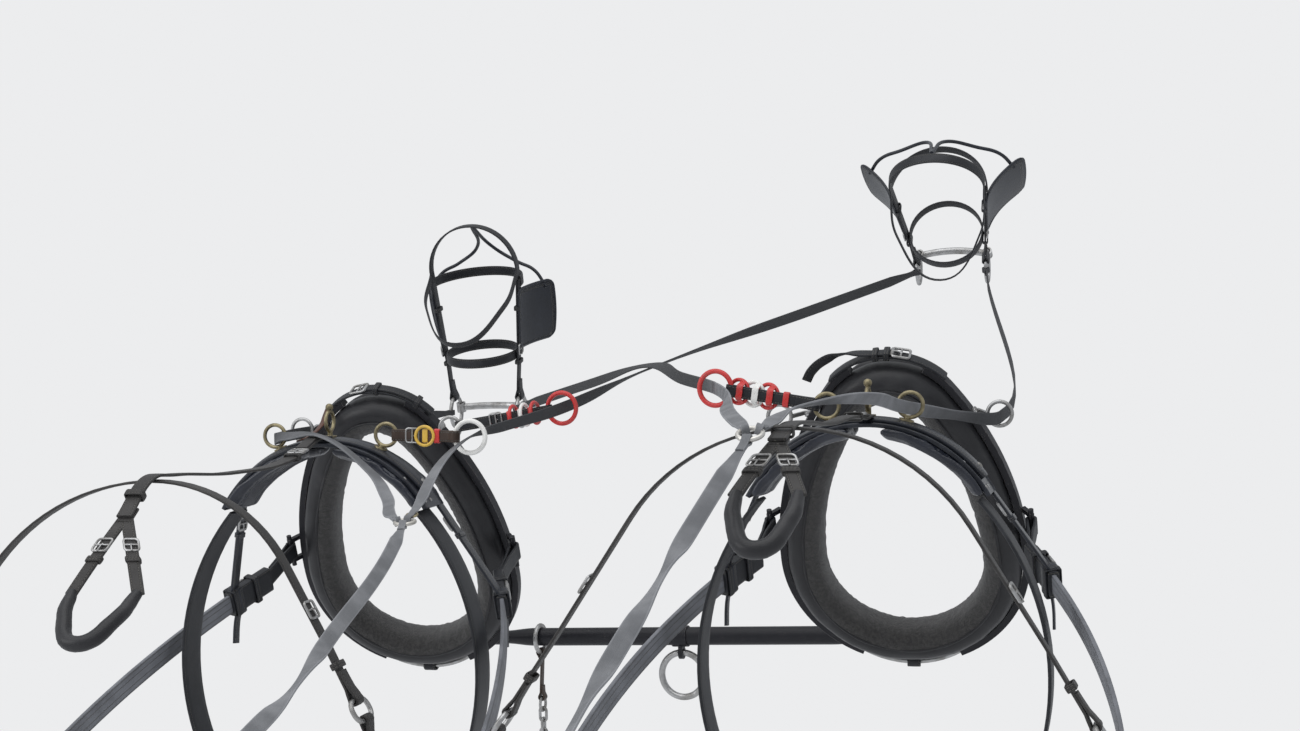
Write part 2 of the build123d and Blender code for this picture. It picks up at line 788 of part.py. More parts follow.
def yoke_eye(name):
    """Middle of the yoke's end eye, where it holds the end ring, in pair coordinates."""
    row = sets[name]
    inward = 1 if name == "near" else -1
    return Vector(*row["place"]) + Vector(*row["yoke_ring"]) + Vector(inward * tip_ring_radius, 0, 0)


yoke_start = yoke_eye("near")
yoke_way = (yoke_eye("off") - yoke_start).normalized()
yoke_span = (yoke_eye("off") - yoke_start).length
yoke_plane = Plane(origin=yoke_start, x_dir=Vector(0, 1, 0) - yoke_way * yoke_way.Y, z_dir=yoke_way)
ferrule_length = 46.0
ferrule_wall = 2.5
ferrule_start = 20.0
yoke_low = Vector(0, 0, -1) + yoke_way * yoke_way.Z
lug_drop = yoke_radius + 16.0


def on_yoke(shape):
    return yoke_plane.location * shape


def yoke_bar():
    """Turned bar, full in the middle and drawn in to plain ends for the ferrules."""
    start = ferrule_start + 3
    end = yoke_span - start
    taper = 120
    low = [(0, start), (yoke_tip_radius, start), (yoke_tip_radius, start + ferrule_length)]
    rise = Spline(low[2], (yoke_radius, start + taper), tangents=[(0, 1), (0, 1)])
    fall = Spline((yoke_radius, end - taper), (yoke_tip_radius, end - ferrule_length),
                  tangents=[(0, 1), (0, 1)])
    edges = [Line(low[0], low[1]), Line(low[1], low[2]), rise, Line(rise @ 1, fall @ 0), fall,
             Line(fall @ 1, (yoke_tip_radius, end)), Line((yoke_tip_radius, end), (0, end)),
             Line((0, end), low[0])]
    return on_yoke(revolve(Plane.XZ * make_face(edges), axis=Axis.Z))


def yoke_fittings():
    """End ferrules with eyes, and the middle band with the lug for the pole ring."""
    pieces = []
    for flip in (False, True):
        outer = yoke_tip_radius + seat + ferrule_wall
        cap = Pos(0, 0, ferrule_start + ferrule_length / 2) * Cylinder(outer, ferrule_length)
        bore = (Pos(0, 0, ferrule_start + 3 - seat + ferrule_length / 2)
                * Cylinder(yoke_tip_radius + seat, ferrule_length))
        neck = Pos(0, 0, ferrule_start / 2 + 1) * Cylinder(6, ferrule_start)
        hole = turn_inner(tip_ring_wire, 14, tip_ring_radius) + 0.8
        eye = Rot(0, 90, 0) * Cylinder(hole + 5, 14)
        piece = fused(cap - bore, neck, eye) - Rot(0, 90, 0) * Cylinder(hole, 40)
        if flip:
            piece = Pos(0, 0, yoke_span) * Rot(180, 0, 0) * piece
        pieces.append(on_yoke(piece))
    centre = yoke_start + yoke_way * (yoke_span / 2)
    band = (Pos(0, 0, yoke_span / 2)
            * (Cylinder(yoke_radius + seat + 3, 34) - Cylinder(yoke_radius + seat, 34)))
    hole_radius = turn_inner(yoke_ring_wire, 9, yoke_ring_radius)
    down = yoke_low.normalized()
    lug = Plane(origin=centre + down * lug_drop, x_dir=down, z_dir=yoke_way)
    plate = Cylinder(hole_radius + 6, 9) + Pos(-9, 0, 0) * Box(18, 20, 9)
    plate = plate - Cylinder(hole_radius, 20)
    core = Pos(0, 0, yoke_span / 2) * Cylinder(yoke_radius + seat, 60)
    plate = lug.location * plate - on_yoke(core)
    pieces.append(fused(on_yoke(band), plate))
    return pieces[0] + pieces[1] + pieces[2]


def pole_ring_pin():
    return yoke_start + yoke_way * (yoke_span / 2) + yoke_low.normalized() * lug_drop


def yoke_ring():
    down = yoke_low.normalized()
    axis = yoke_way.cross(down)
    return ring(pole_ring_pin() + down * yoke_ring_radius, axis, yoke_ring_radius, yoke_ring_wire)


def tip_rings():
    pieces = []
    for name, row in sets.items():
        centre = Vector(*row["place"]) + Vector(*row["yoke_ring"])
        pieces.append(ring(centre, (0, 0, 1), tip_ring_radius, tip_ring_wire))
    return pieces[0] + pieces[1]


def slip_ring_centre():
    """The slip ring hangs on the bar, so its centre lies below the bar's axis."""
    run = (slip_ring_x - yoke_start.X) / yoke_way.X
    drop = slip_ring_radius - slip_ring_wire - yoke_radius - seat
    return yoke_start + yoke_way * run + yoke_low.normalized() * drop


def chain_link(centre, across):
    """Straight-sided link that hangs along Z, as wide as across."""
    plane = Plane(origin=centre, x_dir=across, z_dir=Vector(*across).cross(Vector(0, 0, 1)))
    path = plane * RectangleRounded(15, 2 * chain_half, 7.2).wire()
    return bent_rod(path, chain_wire)


def yoke_chain():
    """Slip ring on the yoke, a short strap, a ring and a few links that hang from it."""
    down = yoke_low.normalized()
    centre = slip_ring_centre()
    slip_hoop = Hoop(centre, yoke_way, slip_ring_radius, slip_ring_wire)
    low, flat = slip_hoop.rim(down)
    reach = turn_reach(slip_ring_wire, chain_strap_width, slip_ring_radius)
    top_turn = turn(low, flat, slip_ring_wire, chain_strap_width, slip_ring_radius)
    ring_top = low - upward * chain_strap_length
    ring_centre = ring_top - upward * chain_ring_radius
    across = square_to(upward, flat)
    small_ring = ring(ring_centre, across.cross(upward), chain_ring_radius, chain_wire)
    low_turn = turn(ring_top, across, chain_wire, chain_strap_width, chain_ring_radius)
    low_reach = turn_reach(chain_wire, chain_strap_width, chain_ring_radius)
    strap = strip(low - upward * reach, ring_top + upward * low_reach, flat, chain_strap_width, strap_thick)
    pieces = [slip_hoop.solid(), fused(top_turn, strap, low_turn), small_ring]
    bar = ring_centre - upward * (chain_ring_radius - 2 * chain_wire - seat)
    ways = (across.cross(upward), across)
    for index in range(chain_links):
        pieces.append(chain_link(bar - upward * chain_half, ways[index % 2]))
        bar = bar - upward * (2 * chain_half - 2 * chain_wire - seat)
    return pieces


# Spreaders, their rings and keepers, in pair coordinates

def pair_place(name):
    return Vector(*sets[name]["place"])


def terret_centre(name, side):
    row = sets[name]
    angle = asin(row["terret_x"] / ridge_outer)
    radius = ridge_outer + seat + terret_height
    return pair_place(name) + Vector(side * radius * sin(angle), 0, radius * cos(angle) + back_centre)


def hame_ring_centre(name, side):
    x, y, z = sets[name]["hame_ring"]
    return pair_place(name) + Vector(side * x, y, z)


def strap_between(first, last, width, thick):
    """Strap from ring to ring with a turn at each end. Returns it with its straight part's ends."""
    way = (last.centre - first.centre).normalized()
    start, start_tangent = first.rim(way)
    end, end_tangent = last.rim(way * -1)
    begin = start + way * turn_reach(first.wire, width, first.radius)
    stop = end - way * turn_reach(last.wire, width, last.radius)
    strap = strip(begin, stop, start_tangent, width, thick)
    turns = [turn(start, start_tangent, first.wire, width, first.radius),
             turn(end, end_tangent, last.wire, width, last.radius)]
    return fused(strap, *turns), begin, stop, start_tangent


def keeper(centre, way, flat, width, thick, length, wall=3.0):
    """Square sleeve round a strap."""
    plane = Plane(origin=centre, x_dir=square_to(way, flat), z_dir=way)
    outside = Rectangle(width + 2 * (seat + wall), thick + 2 * (seat + wall))
    hole = Rectangle(width + 2 * seat, thick + 2 * seat)
    return extrude(plane * (outside - hole), length / 2, both=True)


near_terret = Hoop(terret_centre("near", 1), forward, terret_radius, terret_wire)
off_terret = Hoop(terret_centre("off", -1), forward, terret_radius, terret_wire)
near_hame_ring = Hoop(hame_ring_centre("near", 1), forward, hame_ring_radius, terret_wire)
near_left_terret = Hoop(terret_centre("near", -1), forward, terret_radius, terret_wire)
near_left_hame_ring = Hoop(hame_ring_centre("near", -1), forward, hame_ring_radius, terret_wire)
off_right_terret = Hoop(terret_centre("off", 1), forward, terret_radius, terret_wire)
off_right_hame_ring = Hoop(hame_ring_centre("off", 1), forward, hame_ring_radius, terret_wire)
white_hoop = Hoop(white_ring_at, forward, big_ring_radius, big_ring_wire)
near_red_way = (Vector(*near_red_at) - near_hame_ring.centre).normalized()
near_red_hoop = Hoop(near_red_at, square_to(near_red_way, forward), big_ring_radius, big_ring_wire)
off_red_way = (Vector(*off_red_at) - off_terret.centre).normalized()
off_red_hoop = Hoop(off_red_at, square_to(off_red_way, forward), big_ring_radius, big_ring_wire)


def spreaders():
    """Each spreader strap by name, with the small rings and keepers threaded on it."""
    straps = {}
    small = []
    runs = {
        "near_pad_spreader": (near_terret, white_hoop, (), 0.74),
        "near_hame_spreader": (near_hame_ring, near_red_hoop, near_ring_shares, 0.30),
        "off_pad_spreader": (off_terret, off_red_hoop, off_ring_shares, 0.28),
    }
    for name, (first, last, shares, keeper_share) in runs.items():
        strap, begin, stop, flat = strap_between(first, last, spreader_width, spreader_thick)
        way = (stop - begin).normalized()
        straps[name] = strap
        down = flat if flat.Z < 0 else flat * -1
        hole = small_ring_radius - small_ring_wire - seat
        hang = sqrt(hole ** 2 - (spreader_thick / 2) ** 2) - spreader_width / 2
        for share in shares:
            centre = begin + (stop - begin) * share + down * hang
            small.append(ring(centre, way, small_ring_radius, small_ring_wire))
        place = begin + (stop - begin) * keeper_share
        small.append(keeper(place, way, flat, spreader_width, spreader_thick, 11))
        if name == "near_pad_spreader":
            middle = begin + (stop - begin) * yellow_ring_share
            back = flat.cross(way)
            back = back if back.Y < 0 else back * -1
            drop = spreader_thick / 2 + small_ring_wire + seat
            small.append(ring(middle + back * drop, back, 18, small_ring_wire))
    return straps, small


# Reins, in pair coordinates

def bit_hoop(name, side):
    plane = head_plane(sets[name])
    centre = plane.from_local_coords(bit_ring_centre(side)) + pair_place(name)
    return Hoop(centre, (1, 0, 0), bit_ring_radius, bit_wire)


def bit_hold(name, side, toward):
    """Where a rein from toward turns round the bit ring."""
    hoop = bit_hoop(name, side)
    point, tangent = hoop.rim(Vector(*toward) - hoop.centre)
    return point, tangent, bit_wire, bit_ring_radius


def rein_leg(places, flats, start_turn=None, end_turn=None):
    """Rein through places. Each end turns round the wire given as (point, tangent, wire, bend)."""
    points = [Vector(*place) for place in places]
    widths = [rein_width] * len(points)
    turns = []
    bores = []
    for index, inward, hold in ((0, 1, start_turn), (-1, -2, end_turn)):
        if hold is None:
            continue
        point, tangent, wire, bend = hold
        way = (points[inward] - point).normalized()
        points[index] = point + way * turn_reach(wire, rein_tip_width, bend)
        widths[index] = rein_tip_width
        flats[index] = tangent
        turns.append(turn(point, tangent, wire, rein_tip_width, bend))
        bore = Cylinder(turn_inner(wire, rein_tip_width, bend), rein_tip_width + 8)
        bores.append(Plane(origin=point, z_dir=tangent).location * bore)
    sections = []
    last_flat = None
    for index, point in enumerate(points):
        before = points[max(index - 1, 0)]
        after = points[min(index + 1, len(points) - 1)]
        along = ((point - before).normalized() if index else Vector(0, 0, 0))
        along = along + ((after - point).normalized() if index < len(points) - 1 else Vector(0, 0, 0))
        along = along.normalized()
        flat = square_to(along, Vector(*flats[index]))
        if last_flat is not None and flat.dot(last_flat) < 0:
            flat = flat * -1
        last_flat = flat
        plane = Plane(origin=point, x_dir=flat, z_dir=along)
        sections.append(plane * Rectangle(widths[index], rein_thick))
    leg = fused(loft(sections, ruled=True), *turns)
    for bore in bores:
        leg = leg - bore
    return leg


def split_hoop(split, hand):
    """Ring where a rein parts in two; it lies in the plane of the rein's face."""
    way = (Vector(*split) - Vector(*hand)).normalized()
    flat = square_to(way, Vector(1, 0, 0))
    return Hoop(split, way.cross(flat), split_ring_radius, split_ring_wire)


def held(hoop, way):
    point, tangent = hoop.rim(way)
    return point, tangent, hoop.wire, hoop.radius


near_split_hoop = split_hoop(near_split, near_hand)
off_split_hoop = split_hoop(off_split, off_hand)
hand_hoop = Hoop(hand_ring, upward, split_ring_radius, split_ring_wire)


def spread_place(start, end, share, lift=0):
    start = Vector(*start)
    return start + (Vector(*end) - start) * share + upward * lift


def resting_in(hoop):
    """Middle of a rein that lies on edge in the bottom of a ring."""
    hole = hoop.radius - hoop.wire - seat
    return hoop.centre - upward * (sqrt(hole ** 2 - (rein_thick / 2) ** 2) - rein_width / 2)


off_bit_left = bit_hold("off", -1, near_red_at)
off_bit_right = bit_hold("off", 1, hame_ring_centre("off", 1))
near_bit_left = bit_hold("near", -1, hame_ring_centre("near", -1))
crossing = spread_place(near_red_at, off_bit_left[0], crossing_share, crossing_rise)
near_bit_right = bit_hold("near", 1, crossing)
level = (1, 0, 0)
upright = (0, 0, 1)


def near_rein():
    """Left rein: hand part, crossing branch to the off bit and side branch to the near bit."""
    split = Vector(*near_split)
    hand = Vector(*near_hand)
    main = rein_leg([hand_ring, near_hand, spread_place(hand, split, 0.35), spread_place(hand, split, 0.6),
                     spread_place(hand, split, 0.97), split],
                    [level, level, level, (0.8, 0, 0.6), level, level],
                    held(hand_hoop, hand - Vector(*hand_ring)), held(near_split_hoop, hand - split))
    inner_hold = held(near_split_hoop, Vector(*white_ring_at) - split)
    inner = rein_leg([inner_hold[0], spread_place(split, white_ring_at, 0.2), white_ring_at,
                      spread_place(white_ring_at, near_red_at, 0.4), near_red_at, crossing,
                      spread_place(crossing, off_bit_left[0], 0.6), off_bit_left[0]],
                     [level, level, (1, 0, 0.5), (0.5, 0, 1), upright, (0, 0.4, 1), upright, upright],
                     inner_hold, off_bit_left)
    side_way = Vector(-0.9, 0.3, 0.3)
    outer = rein_leg([split, (238, -300, -98), (178, -165, -78), (118, -96, -38), (20, -84, 26),
                      (-62, -60, 26), resting_in(near_left_terret), resting_in(near_left_hame_ring),
                      near_bit_left[0]],
                     [level, (0.5, 0.6, 0.3), (0.35, 0.8, 0.3), (0, 1, 0.2), (0, 1, 0), (0.2, 0.8, 0.6),
                      upright, upright, upright],
                     held(near_split_hoop, side_way), near_bit_left)
    return [main, inner, outer]


def off_rein():
    """Right rein: hand part, crossing branch to the near bit and side branch to the off bit."""
    split = Vector(*off_split)
    hand = Vector(*off_hand)
    main = rein_leg([hand_ring, off_hand, spread_place(hand, split, 0.3), spread_place(hand, split, 0.62),
                     spread_place(hand, split, 0.97), split],
                    [level, level, (0.9, 0, 0.4), level, level, level],
                    held(hand_hoop, hand - Vector(*hand_ring)), held(off_split_hoop, hand - split))
    over = crossing + upward * (rein_width / 2 + rein_thick + crossing_lift)
    inner = rein_leg([split, (945, -700, 92), off_red_at, over, near_bit_right[0]],
                     [level, (0.8, 0.5, 0.3), upright, (0, 0.5, 1), upright],
                     held(off_split_hoop, Vector(-0.5, 0.8, 0)), near_bit_right)
    outer = rein_leg([split, (1048, -700, 100), (1110, -380, 96), resting_in(off_right_terret),
                      resting_in(off_right_hame_ring), off_bit_right[0]],
                     [level, (0.8, -0.5, 0.3), (0.5, -0.3, 0.8), upright, upright, upright],
                     held(off_split_hoop, Vector(0.6, 0.8, 0)), off_bit_right)
    return [main, inner, outer]


# Write each piece

def gathered(pieces):
    solids = []
    for piece in pieces:
        solids.extend(piece.solids())
    return Compound(children=solids)


def save(name, shape):
    export_step(shape, f"parts/{name}.step")
    print(name, len(shape.solids()), round(shape.volume / 1000, 1))


set_pieces = {
    "pad_panels": lambda row: pad_panels(),
    "pad_saddle": pad_saddle,
    "pad_terrets": pad_terrets,
    "girth": lambda row: girth(),
    "back_strap": back_strap,
    "crupper": crupper,
    "hip_strap": lambda row: gathered(hip_strap(row)),
    "strap_loops": lambda row: gathered([*strap_loops(row), hame_link(row)]),
    "collar": collar,
    "hames": hames,
    "hame_rings": hame_rings,
    "hame_strap": hame_strap,
    "tugs": tugs,
    "traces": traces,
    "trace_eyes": trace_eyes,
    "breast_strap": breast_strap,
    "headstall": headstall,
    "bridle_bands": bridle_bands,
    "blinkers": blinkers,
    "bit": bit,
    "bit_ring_left": lambda row: bit_ring(row, -1),
    "bit_ring_right": lambda row: bit_ring(row, 1),
}

for set_name, set_row in sets.items():
    for piece_name, build in set_pieces.items():
        save(f"{set_name}_{piece_name}", Pos(*set_row["place"]) * build(set_row))

save("yoke_bar", yoke_bar())
save("yoke_fittings", yoke_fittings())
save("yoke_ring", yoke_ring())
save("yoke_tip_rings", tip_rings())
save("yoke_chain", gathered(yoke_chain()))

spreader_straps, small_pieces = spreaders()
for strap_name, strap in spreader_straps.items():
    save(strap_name, strap)
save("small_rings", gathered(small_pieces))
save("white_ring", white_hoop.solid())
save("near_red_ring", near_red_hoop.solid())
save("off_red_ring", off_red_hoop.solid())
save("near_rein", gathered(near_rein()))
save("off_rein", gathered(off_rein()))
save("rein_rings", gathered([near_split_hoop.solid(), off_split_hoop.solid(), hand_hoop.solid()]))
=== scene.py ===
from math import asin, atan2, cos, degrees, pi, radians, sin, sqrt, tan

import bmesh
import bpy
from mathutils import Matrix, Vector, noise


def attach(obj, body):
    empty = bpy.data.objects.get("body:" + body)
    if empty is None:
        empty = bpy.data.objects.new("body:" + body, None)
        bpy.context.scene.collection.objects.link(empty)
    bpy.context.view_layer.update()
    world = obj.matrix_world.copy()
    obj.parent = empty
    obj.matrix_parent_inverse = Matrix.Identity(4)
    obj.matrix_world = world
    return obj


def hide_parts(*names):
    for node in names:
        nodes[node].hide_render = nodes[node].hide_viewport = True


# Pair driving harness in its worn shape. Pieces are drawn in millimetres, each set about its own spine.

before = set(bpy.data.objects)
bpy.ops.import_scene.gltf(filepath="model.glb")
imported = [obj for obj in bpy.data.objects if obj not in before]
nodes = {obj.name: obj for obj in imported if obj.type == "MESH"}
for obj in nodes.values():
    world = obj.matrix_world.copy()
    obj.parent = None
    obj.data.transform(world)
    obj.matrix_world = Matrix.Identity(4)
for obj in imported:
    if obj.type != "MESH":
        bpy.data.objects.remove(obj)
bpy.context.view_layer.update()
metre = 1000.0

# Camera, floor and light

cameraView = dict(place=(1.622, -3.737, 0.254), heading=-14.7, dip=1.61, roll=-1.58, lens=57.85)
studio = dict(floorHeight=-1.43, floorSize=60.0, paper=(0.84, 0.845, 0.855), skyStrength=0.56, fade=(2.2, 4.2),
              topSize=7.0, topPower=190.0, topPlace=(0.2, -1.2, 5.2), sidePower=60.0, sidePlace=(-3.6, -3.4, 1.9))


def setCamera():
    heading, dip, roll = (radians(cameraView[key]) for key in ("heading", "dip", "roll"))
    look = Vector((sin(heading) * cos(dip), cos(heading) * cos(dip), -sin(dip)))
    right = Vector((cos(heading), -sin(heading), 0))
    up = right.cross(look)
    right, up = right * cos(roll) + up * sin(roll), up * cos(roll) - right * sin(roll)
    lens = bpy.data.cameras.new("camera")
    lens.lens = cameraView["lens"]
    lens.sensor_width = 36
    lens.clip_end = 200
    camera = bpy.data.objects.new("camera", lens)
    camera.matrix_world = Matrix.Translation(cameraView["place"]) @ Matrix((right, up, -look)).transposed().to_4x4()
    bpy.context.collection.objects.link(camera)
    bpy.context.scene.camera = camera


def softBox(name, place, size, power):
    light = bpy.data.lights.new(name, "AREA")
    light.size = size
    light.energy = power
    lamp = bpy.data.objects.new(name, light)
    lamp.location = place
    aim = Vector((0.5, 0, 0)) - lamp.location
    lamp.rotation_euler = aim.to_track_quat("-Z", "Y").to_euler()
    bpy.context.collection.objects.link(lamp)


# Materials

class Socket:
    # One output in a material, so that its maths reads as plain sums
    def __init__(self, paint, link):
        self.paint = paint
        self.link = link

    def maths(self, operation, *others):
        return self.paint.add("ShaderNodeMath", dict(operation=operation), self, *others)

    def __add__(self, other):
        return self.maths("ADD", other)

    __radd__ = __add__

    def __sub__(self, other):
        return self.maths("SUBTRACT", other)

    def __rsub__(self, other):
        return self.paint.add("ShaderNodeMath", dict(operation="SUBTRACT"), other, self)

    def __mul__(self, other):
        return self.maths("MULTIPLY", other)

    __rmul__ = __mul__

    def __truediv__(self, other):
        return self.maths("DIVIDE", other)

    def __gt__(self, other):
        return self.maths("GREATER_THAN", other)

    def __lt__(self, other):
        return self.maths("LESS_THAN", other)

    def __abs__(self):
        return self.maths("ABSOLUTE")

    def fract(self):
        return self.maths("FRACT")

    def sine(self):
        return self.maths("SINE")

    def within(self, low, high):
        # 0 at low and 1 at high, with a soft step between
        return self.paint.add("ShaderNodeMapRange", dict(interpolation_type="SMOOTHSTEP"), self, low, high)


class Paint:
    # A material in the making
    def __init__(self, name):
        self.material = bpy.data.materials.new(name)
        self.material.use_nodes = True
        self.tree = self.material.node_tree
        self.shader = self.tree.nodes["Principled BSDF"]
        self.place = self.add("ShaderNodeTexCoord", output="Object")

    def feed(self, socket, value):
        if isinstance(value, Socket):
            self.tree.links.new(value.link, socket)
        elif isinstance(value, tuple) and len(value) == 3 and len(socket.default_value) == 4:
            socket.default_value = (*value, 1)
        else:
            socket.default_value = value

    def add(self, kind, settings=None, *values, feeds=None, output=0):
        node = self.tree.nodes.new(kind)
        for key, value in (settings or {}).items():
            setattr(node, key, value)
        for socket, value in [*enumerate(values), *(feeds or {}).items()]:
            self.feed(node.inputs[socket], value)
        return Socket(self, node.outputs[output])

    def mix(self, share, first, second):
        return self.add("ShaderNodeMix", dict(data_type="RGBA"), feeds={0: share, 6: first, 7: second}, output=2)

    def stretched(self, *scale):
        return self.add("ShaderNodeMapping", None, feeds={"Vector": self.place, "Scale": scale})

    def grain(self, size, detail=3.0, at=None, roughness=0.5):
        # Noise from 0 to 1 whose lumps are about size metres wide
        feeds = {"Vector": at or self.place, "Scale": 1 / size, "Detail": detail, "Roughness": roughness}
        return self.add("ShaderNodeTexNoise", feeds=feeds)

    def cells(self, size, feature="F1"):
        feeds = {"Vector": self.place, "Scale": 1 / size}
        return self.add("ShaderNodeTexVoronoi", dict(feature=feature), feeds=feeds)

    def along(self):
        return self.add("ShaderNodeAttribute", dict(attribute_name="along"), output="Fac")

    def rim(self):
        return self.add("ShaderNodeAttribute", dict(attribute_name="rim"), output="Fac")

    def worn(self, radius):
        # 1 on sharp edges and 0 on flat faces
        soft = self.add("ShaderNodeBevel", dict(samples=4), feeds={"Radius": radius})
        hard = self.add("ShaderNodeNewGeometry", output="Normal")
        match = self.add("ShaderNodeVectorMath", dict(operation="DOT_PRODUCT"), soft, hard, output="Value")
        return (1 - match).within(0.01, 0.16), soft

    def bump(self, height, depth, normal=None):
        # Height from 0 to 1 stands depth metres high
        feeds = {"Height": height, "Distance": depth, "Strength": 1.0}
        if normal:
            feeds["Normal"] = normal
        return self.add("ShaderNodeBump", feeds=feeds)

    def finish(self, **sockets):
        for name, value in sockets.items():
            self.feed(self.shader.inputs[name.replace("_", " ")], value)
        return self.material


def leather(name, colour, wornColour, rough, pore, stitched, coat=0.0, stitchRows=(3.2,)):
    # Worn leather; stitched straps carry rows of thread beside their rims
    paint = Paint(name)
    mottle = paint.grain(0.06, 5)
    patches = paint.grain(0.015, 4)
    scuffs = paint.grain(0.004, 3, paint.stretched(1, 0.35, 1))
    pores = paint.cells(pore)
    edge, soft = paint.worn(0.0022)
    rubbed = (edge * patches.within(0.38, 0.6) * 0.75).maths("MAXIMUM", mottle.within(0.56, 0.78) * 0.3)
    height = pores.within(0.0, 0.6) * 0.16 + patches * 0.3 + scuffs * 0.1
    shade = paint.mix(rubbed, paint.mix(mottle.within(0.3, 0.7), colour, tuple(c * 1.45 for c in colour)), wornColour)
    if stitched:
        along, rim = paint.along(), paint.rim()
        thread = 0
        groove = 0
        for row in stitchRows:
            off = abs(rim - row)
            thread = (1 - off.within(0.35, 0.6)) * ((along / 5.2).fract() < 0.66) + thread
            groove = (1 - off.within(0.5, 1.1)) + groove
        # The groove beside each row of thread is darkened: painted shade in the recess
        shade = paint.mix(groove * 0.5, shade, tuple(c * 0.45 for c in colour))
        # The thread is paler than the leather: partly worn thread, and partly a painted highlight along the stitches
        shade = paint.mix(thread * 0.9, shade, (0.16, 0.15, 0.135))
        height = height + thread * 0.75 - groove * 0.55
    normal = paint.bump(height, 0.0011, soft)
    gloss = rough + (mottle - 0.5) * 0.22 + rubbed * 0.14
    return paint.finish(Base_Color=shade, Roughness=gloss, Normal=normal, Coat_Weight=coat, Coat_Roughness=0.22,
                        Specular_IOR_Level=0.32)


def webbing(name, colour, worn, frontShadeColour, pitch, rough):
    # Woven band: ribs across it, a firm selvedge at each rim, and darker towards the front, which is painted shade
    # where the reins run forward between the two horses
    paint = Paint(name)
    along, rim = paint.along(), paint.rim()
    mottle = paint.grain(0.05, 5)
    fluff = paint.grain(0.002, 4)
    ribs = (along * (2 * pi / pitch)).sine() * 0.5 + 0.5
    cross = (rim * (2 * pi / (pitch * 1.1))).sine() * 0.5 + 0.5
    selvedge = 1 - rim.within(1.2, 2.0)
    weave = ribs * 0.6 + cross * 0.4
    # Forward of the pad the reins blend to a dark colour: painted shade, not a colour of the webbing
    front = paint.add("ShaderNodeSeparateXYZ", None, paint.place, output="Y").within(-0.16, 0.02)
    shade = paint.mix(mottle.within(0.35, 0.7), colour, worn)
    shade = paint.mix(selvedge * 0.35, shade, tuple(c * 1.7 for c in worn))
    shade = paint.mix(front * 0.93, shade, frontShadeColour)
    # The hollows between the ribs are darkened: painted shade in the weave
    shade = paint.mix((1 - weave) * 0.32, shade, tuple(c * 0.2 for c in colour))
    normal = paint.bump(weave * 0.55 + fluff * 0.45 + selvedge * 0.4, 0.0004)
    return paint.finish(Base_Color=shade, Roughness=rough + (mottle - 0.5) * 0.1, Normal=normal)


def metal(name, colour, dull, rough, paintColour=None):
    # Bare metal with smears, or black paint that is rubbed through on edges
    paint = Paint(name)
    smear = paint.grain(0.022, 5)
    fine = paint.grain(0.0012, 3)
    edge, soft = paint.worn(0.0016)
    normal = paint.bump(fine * 0.6 + smear * 0.4, 0.0001, soft)
    bare = paint.mix(smear.within(0.3, 0.8), colour, dull)
    if not paintColour:
        return paint.finish(Base_Color=bare, Metallic=0.92, Roughness=rough + smear.within(0.35, 0.75) * 0.25, Normal=normal)
    chipped = (edge * smear.within(0.4, 0.55)).maths("MAXIMUM", fine.within(0.66, 0.7) * smear.within(0.55, 0.65))
    shade = paint.mix(chipped, paint.mix(smear, paintColour, tuple(c * 1.6 for c in paintColour)), bare)
    return paint.finish(Base_Color=shade, Metallic=chipped * 0.85, Roughness=rough + chipped * 0.1 + (smear - 0.5) * 0.2,
                        Normal=normal, Specular_IOR_Level=0.3)


def plastic(name, colour, dirty):
    # Moulded ring, glossy with fine scratches and grey grime
    paint = Paint(name)
    grime = paint.grain(0.014, 5)
    scratch = paint.grain(0.0015, 2, paint.stretched(1, 8, 1))
    shade = paint.mix(grime.within(0.5, 0.8) * 0.55, colour, dirty)
    normal = paint.bump(scratch, 0.0001)
    return paint.finish(Base_Color=shade, Roughness=0.26 + grime.within(0.45, 0.8) * 0.3, Normal=normal)


def felt(name, colour, worn):
    # Matted woollen lining
    paint = Paint(name)
    tufts = paint.grain(0.006, 6, roughness=0.7)
    hair = paint.grain(0.0014, 4, roughness=0.8)
    shade = paint.mix(tufts.within(0.35, 0.7), colour, worn)
    normal = paint.bump(tufts * 0.6 + hair * 0.4, 0.003)
    return paint.finish(Base_Color=shade, Roughness=0.95, Normal=normal, Sheen_Weight=0.35, Sheen_Roughness=0.6)


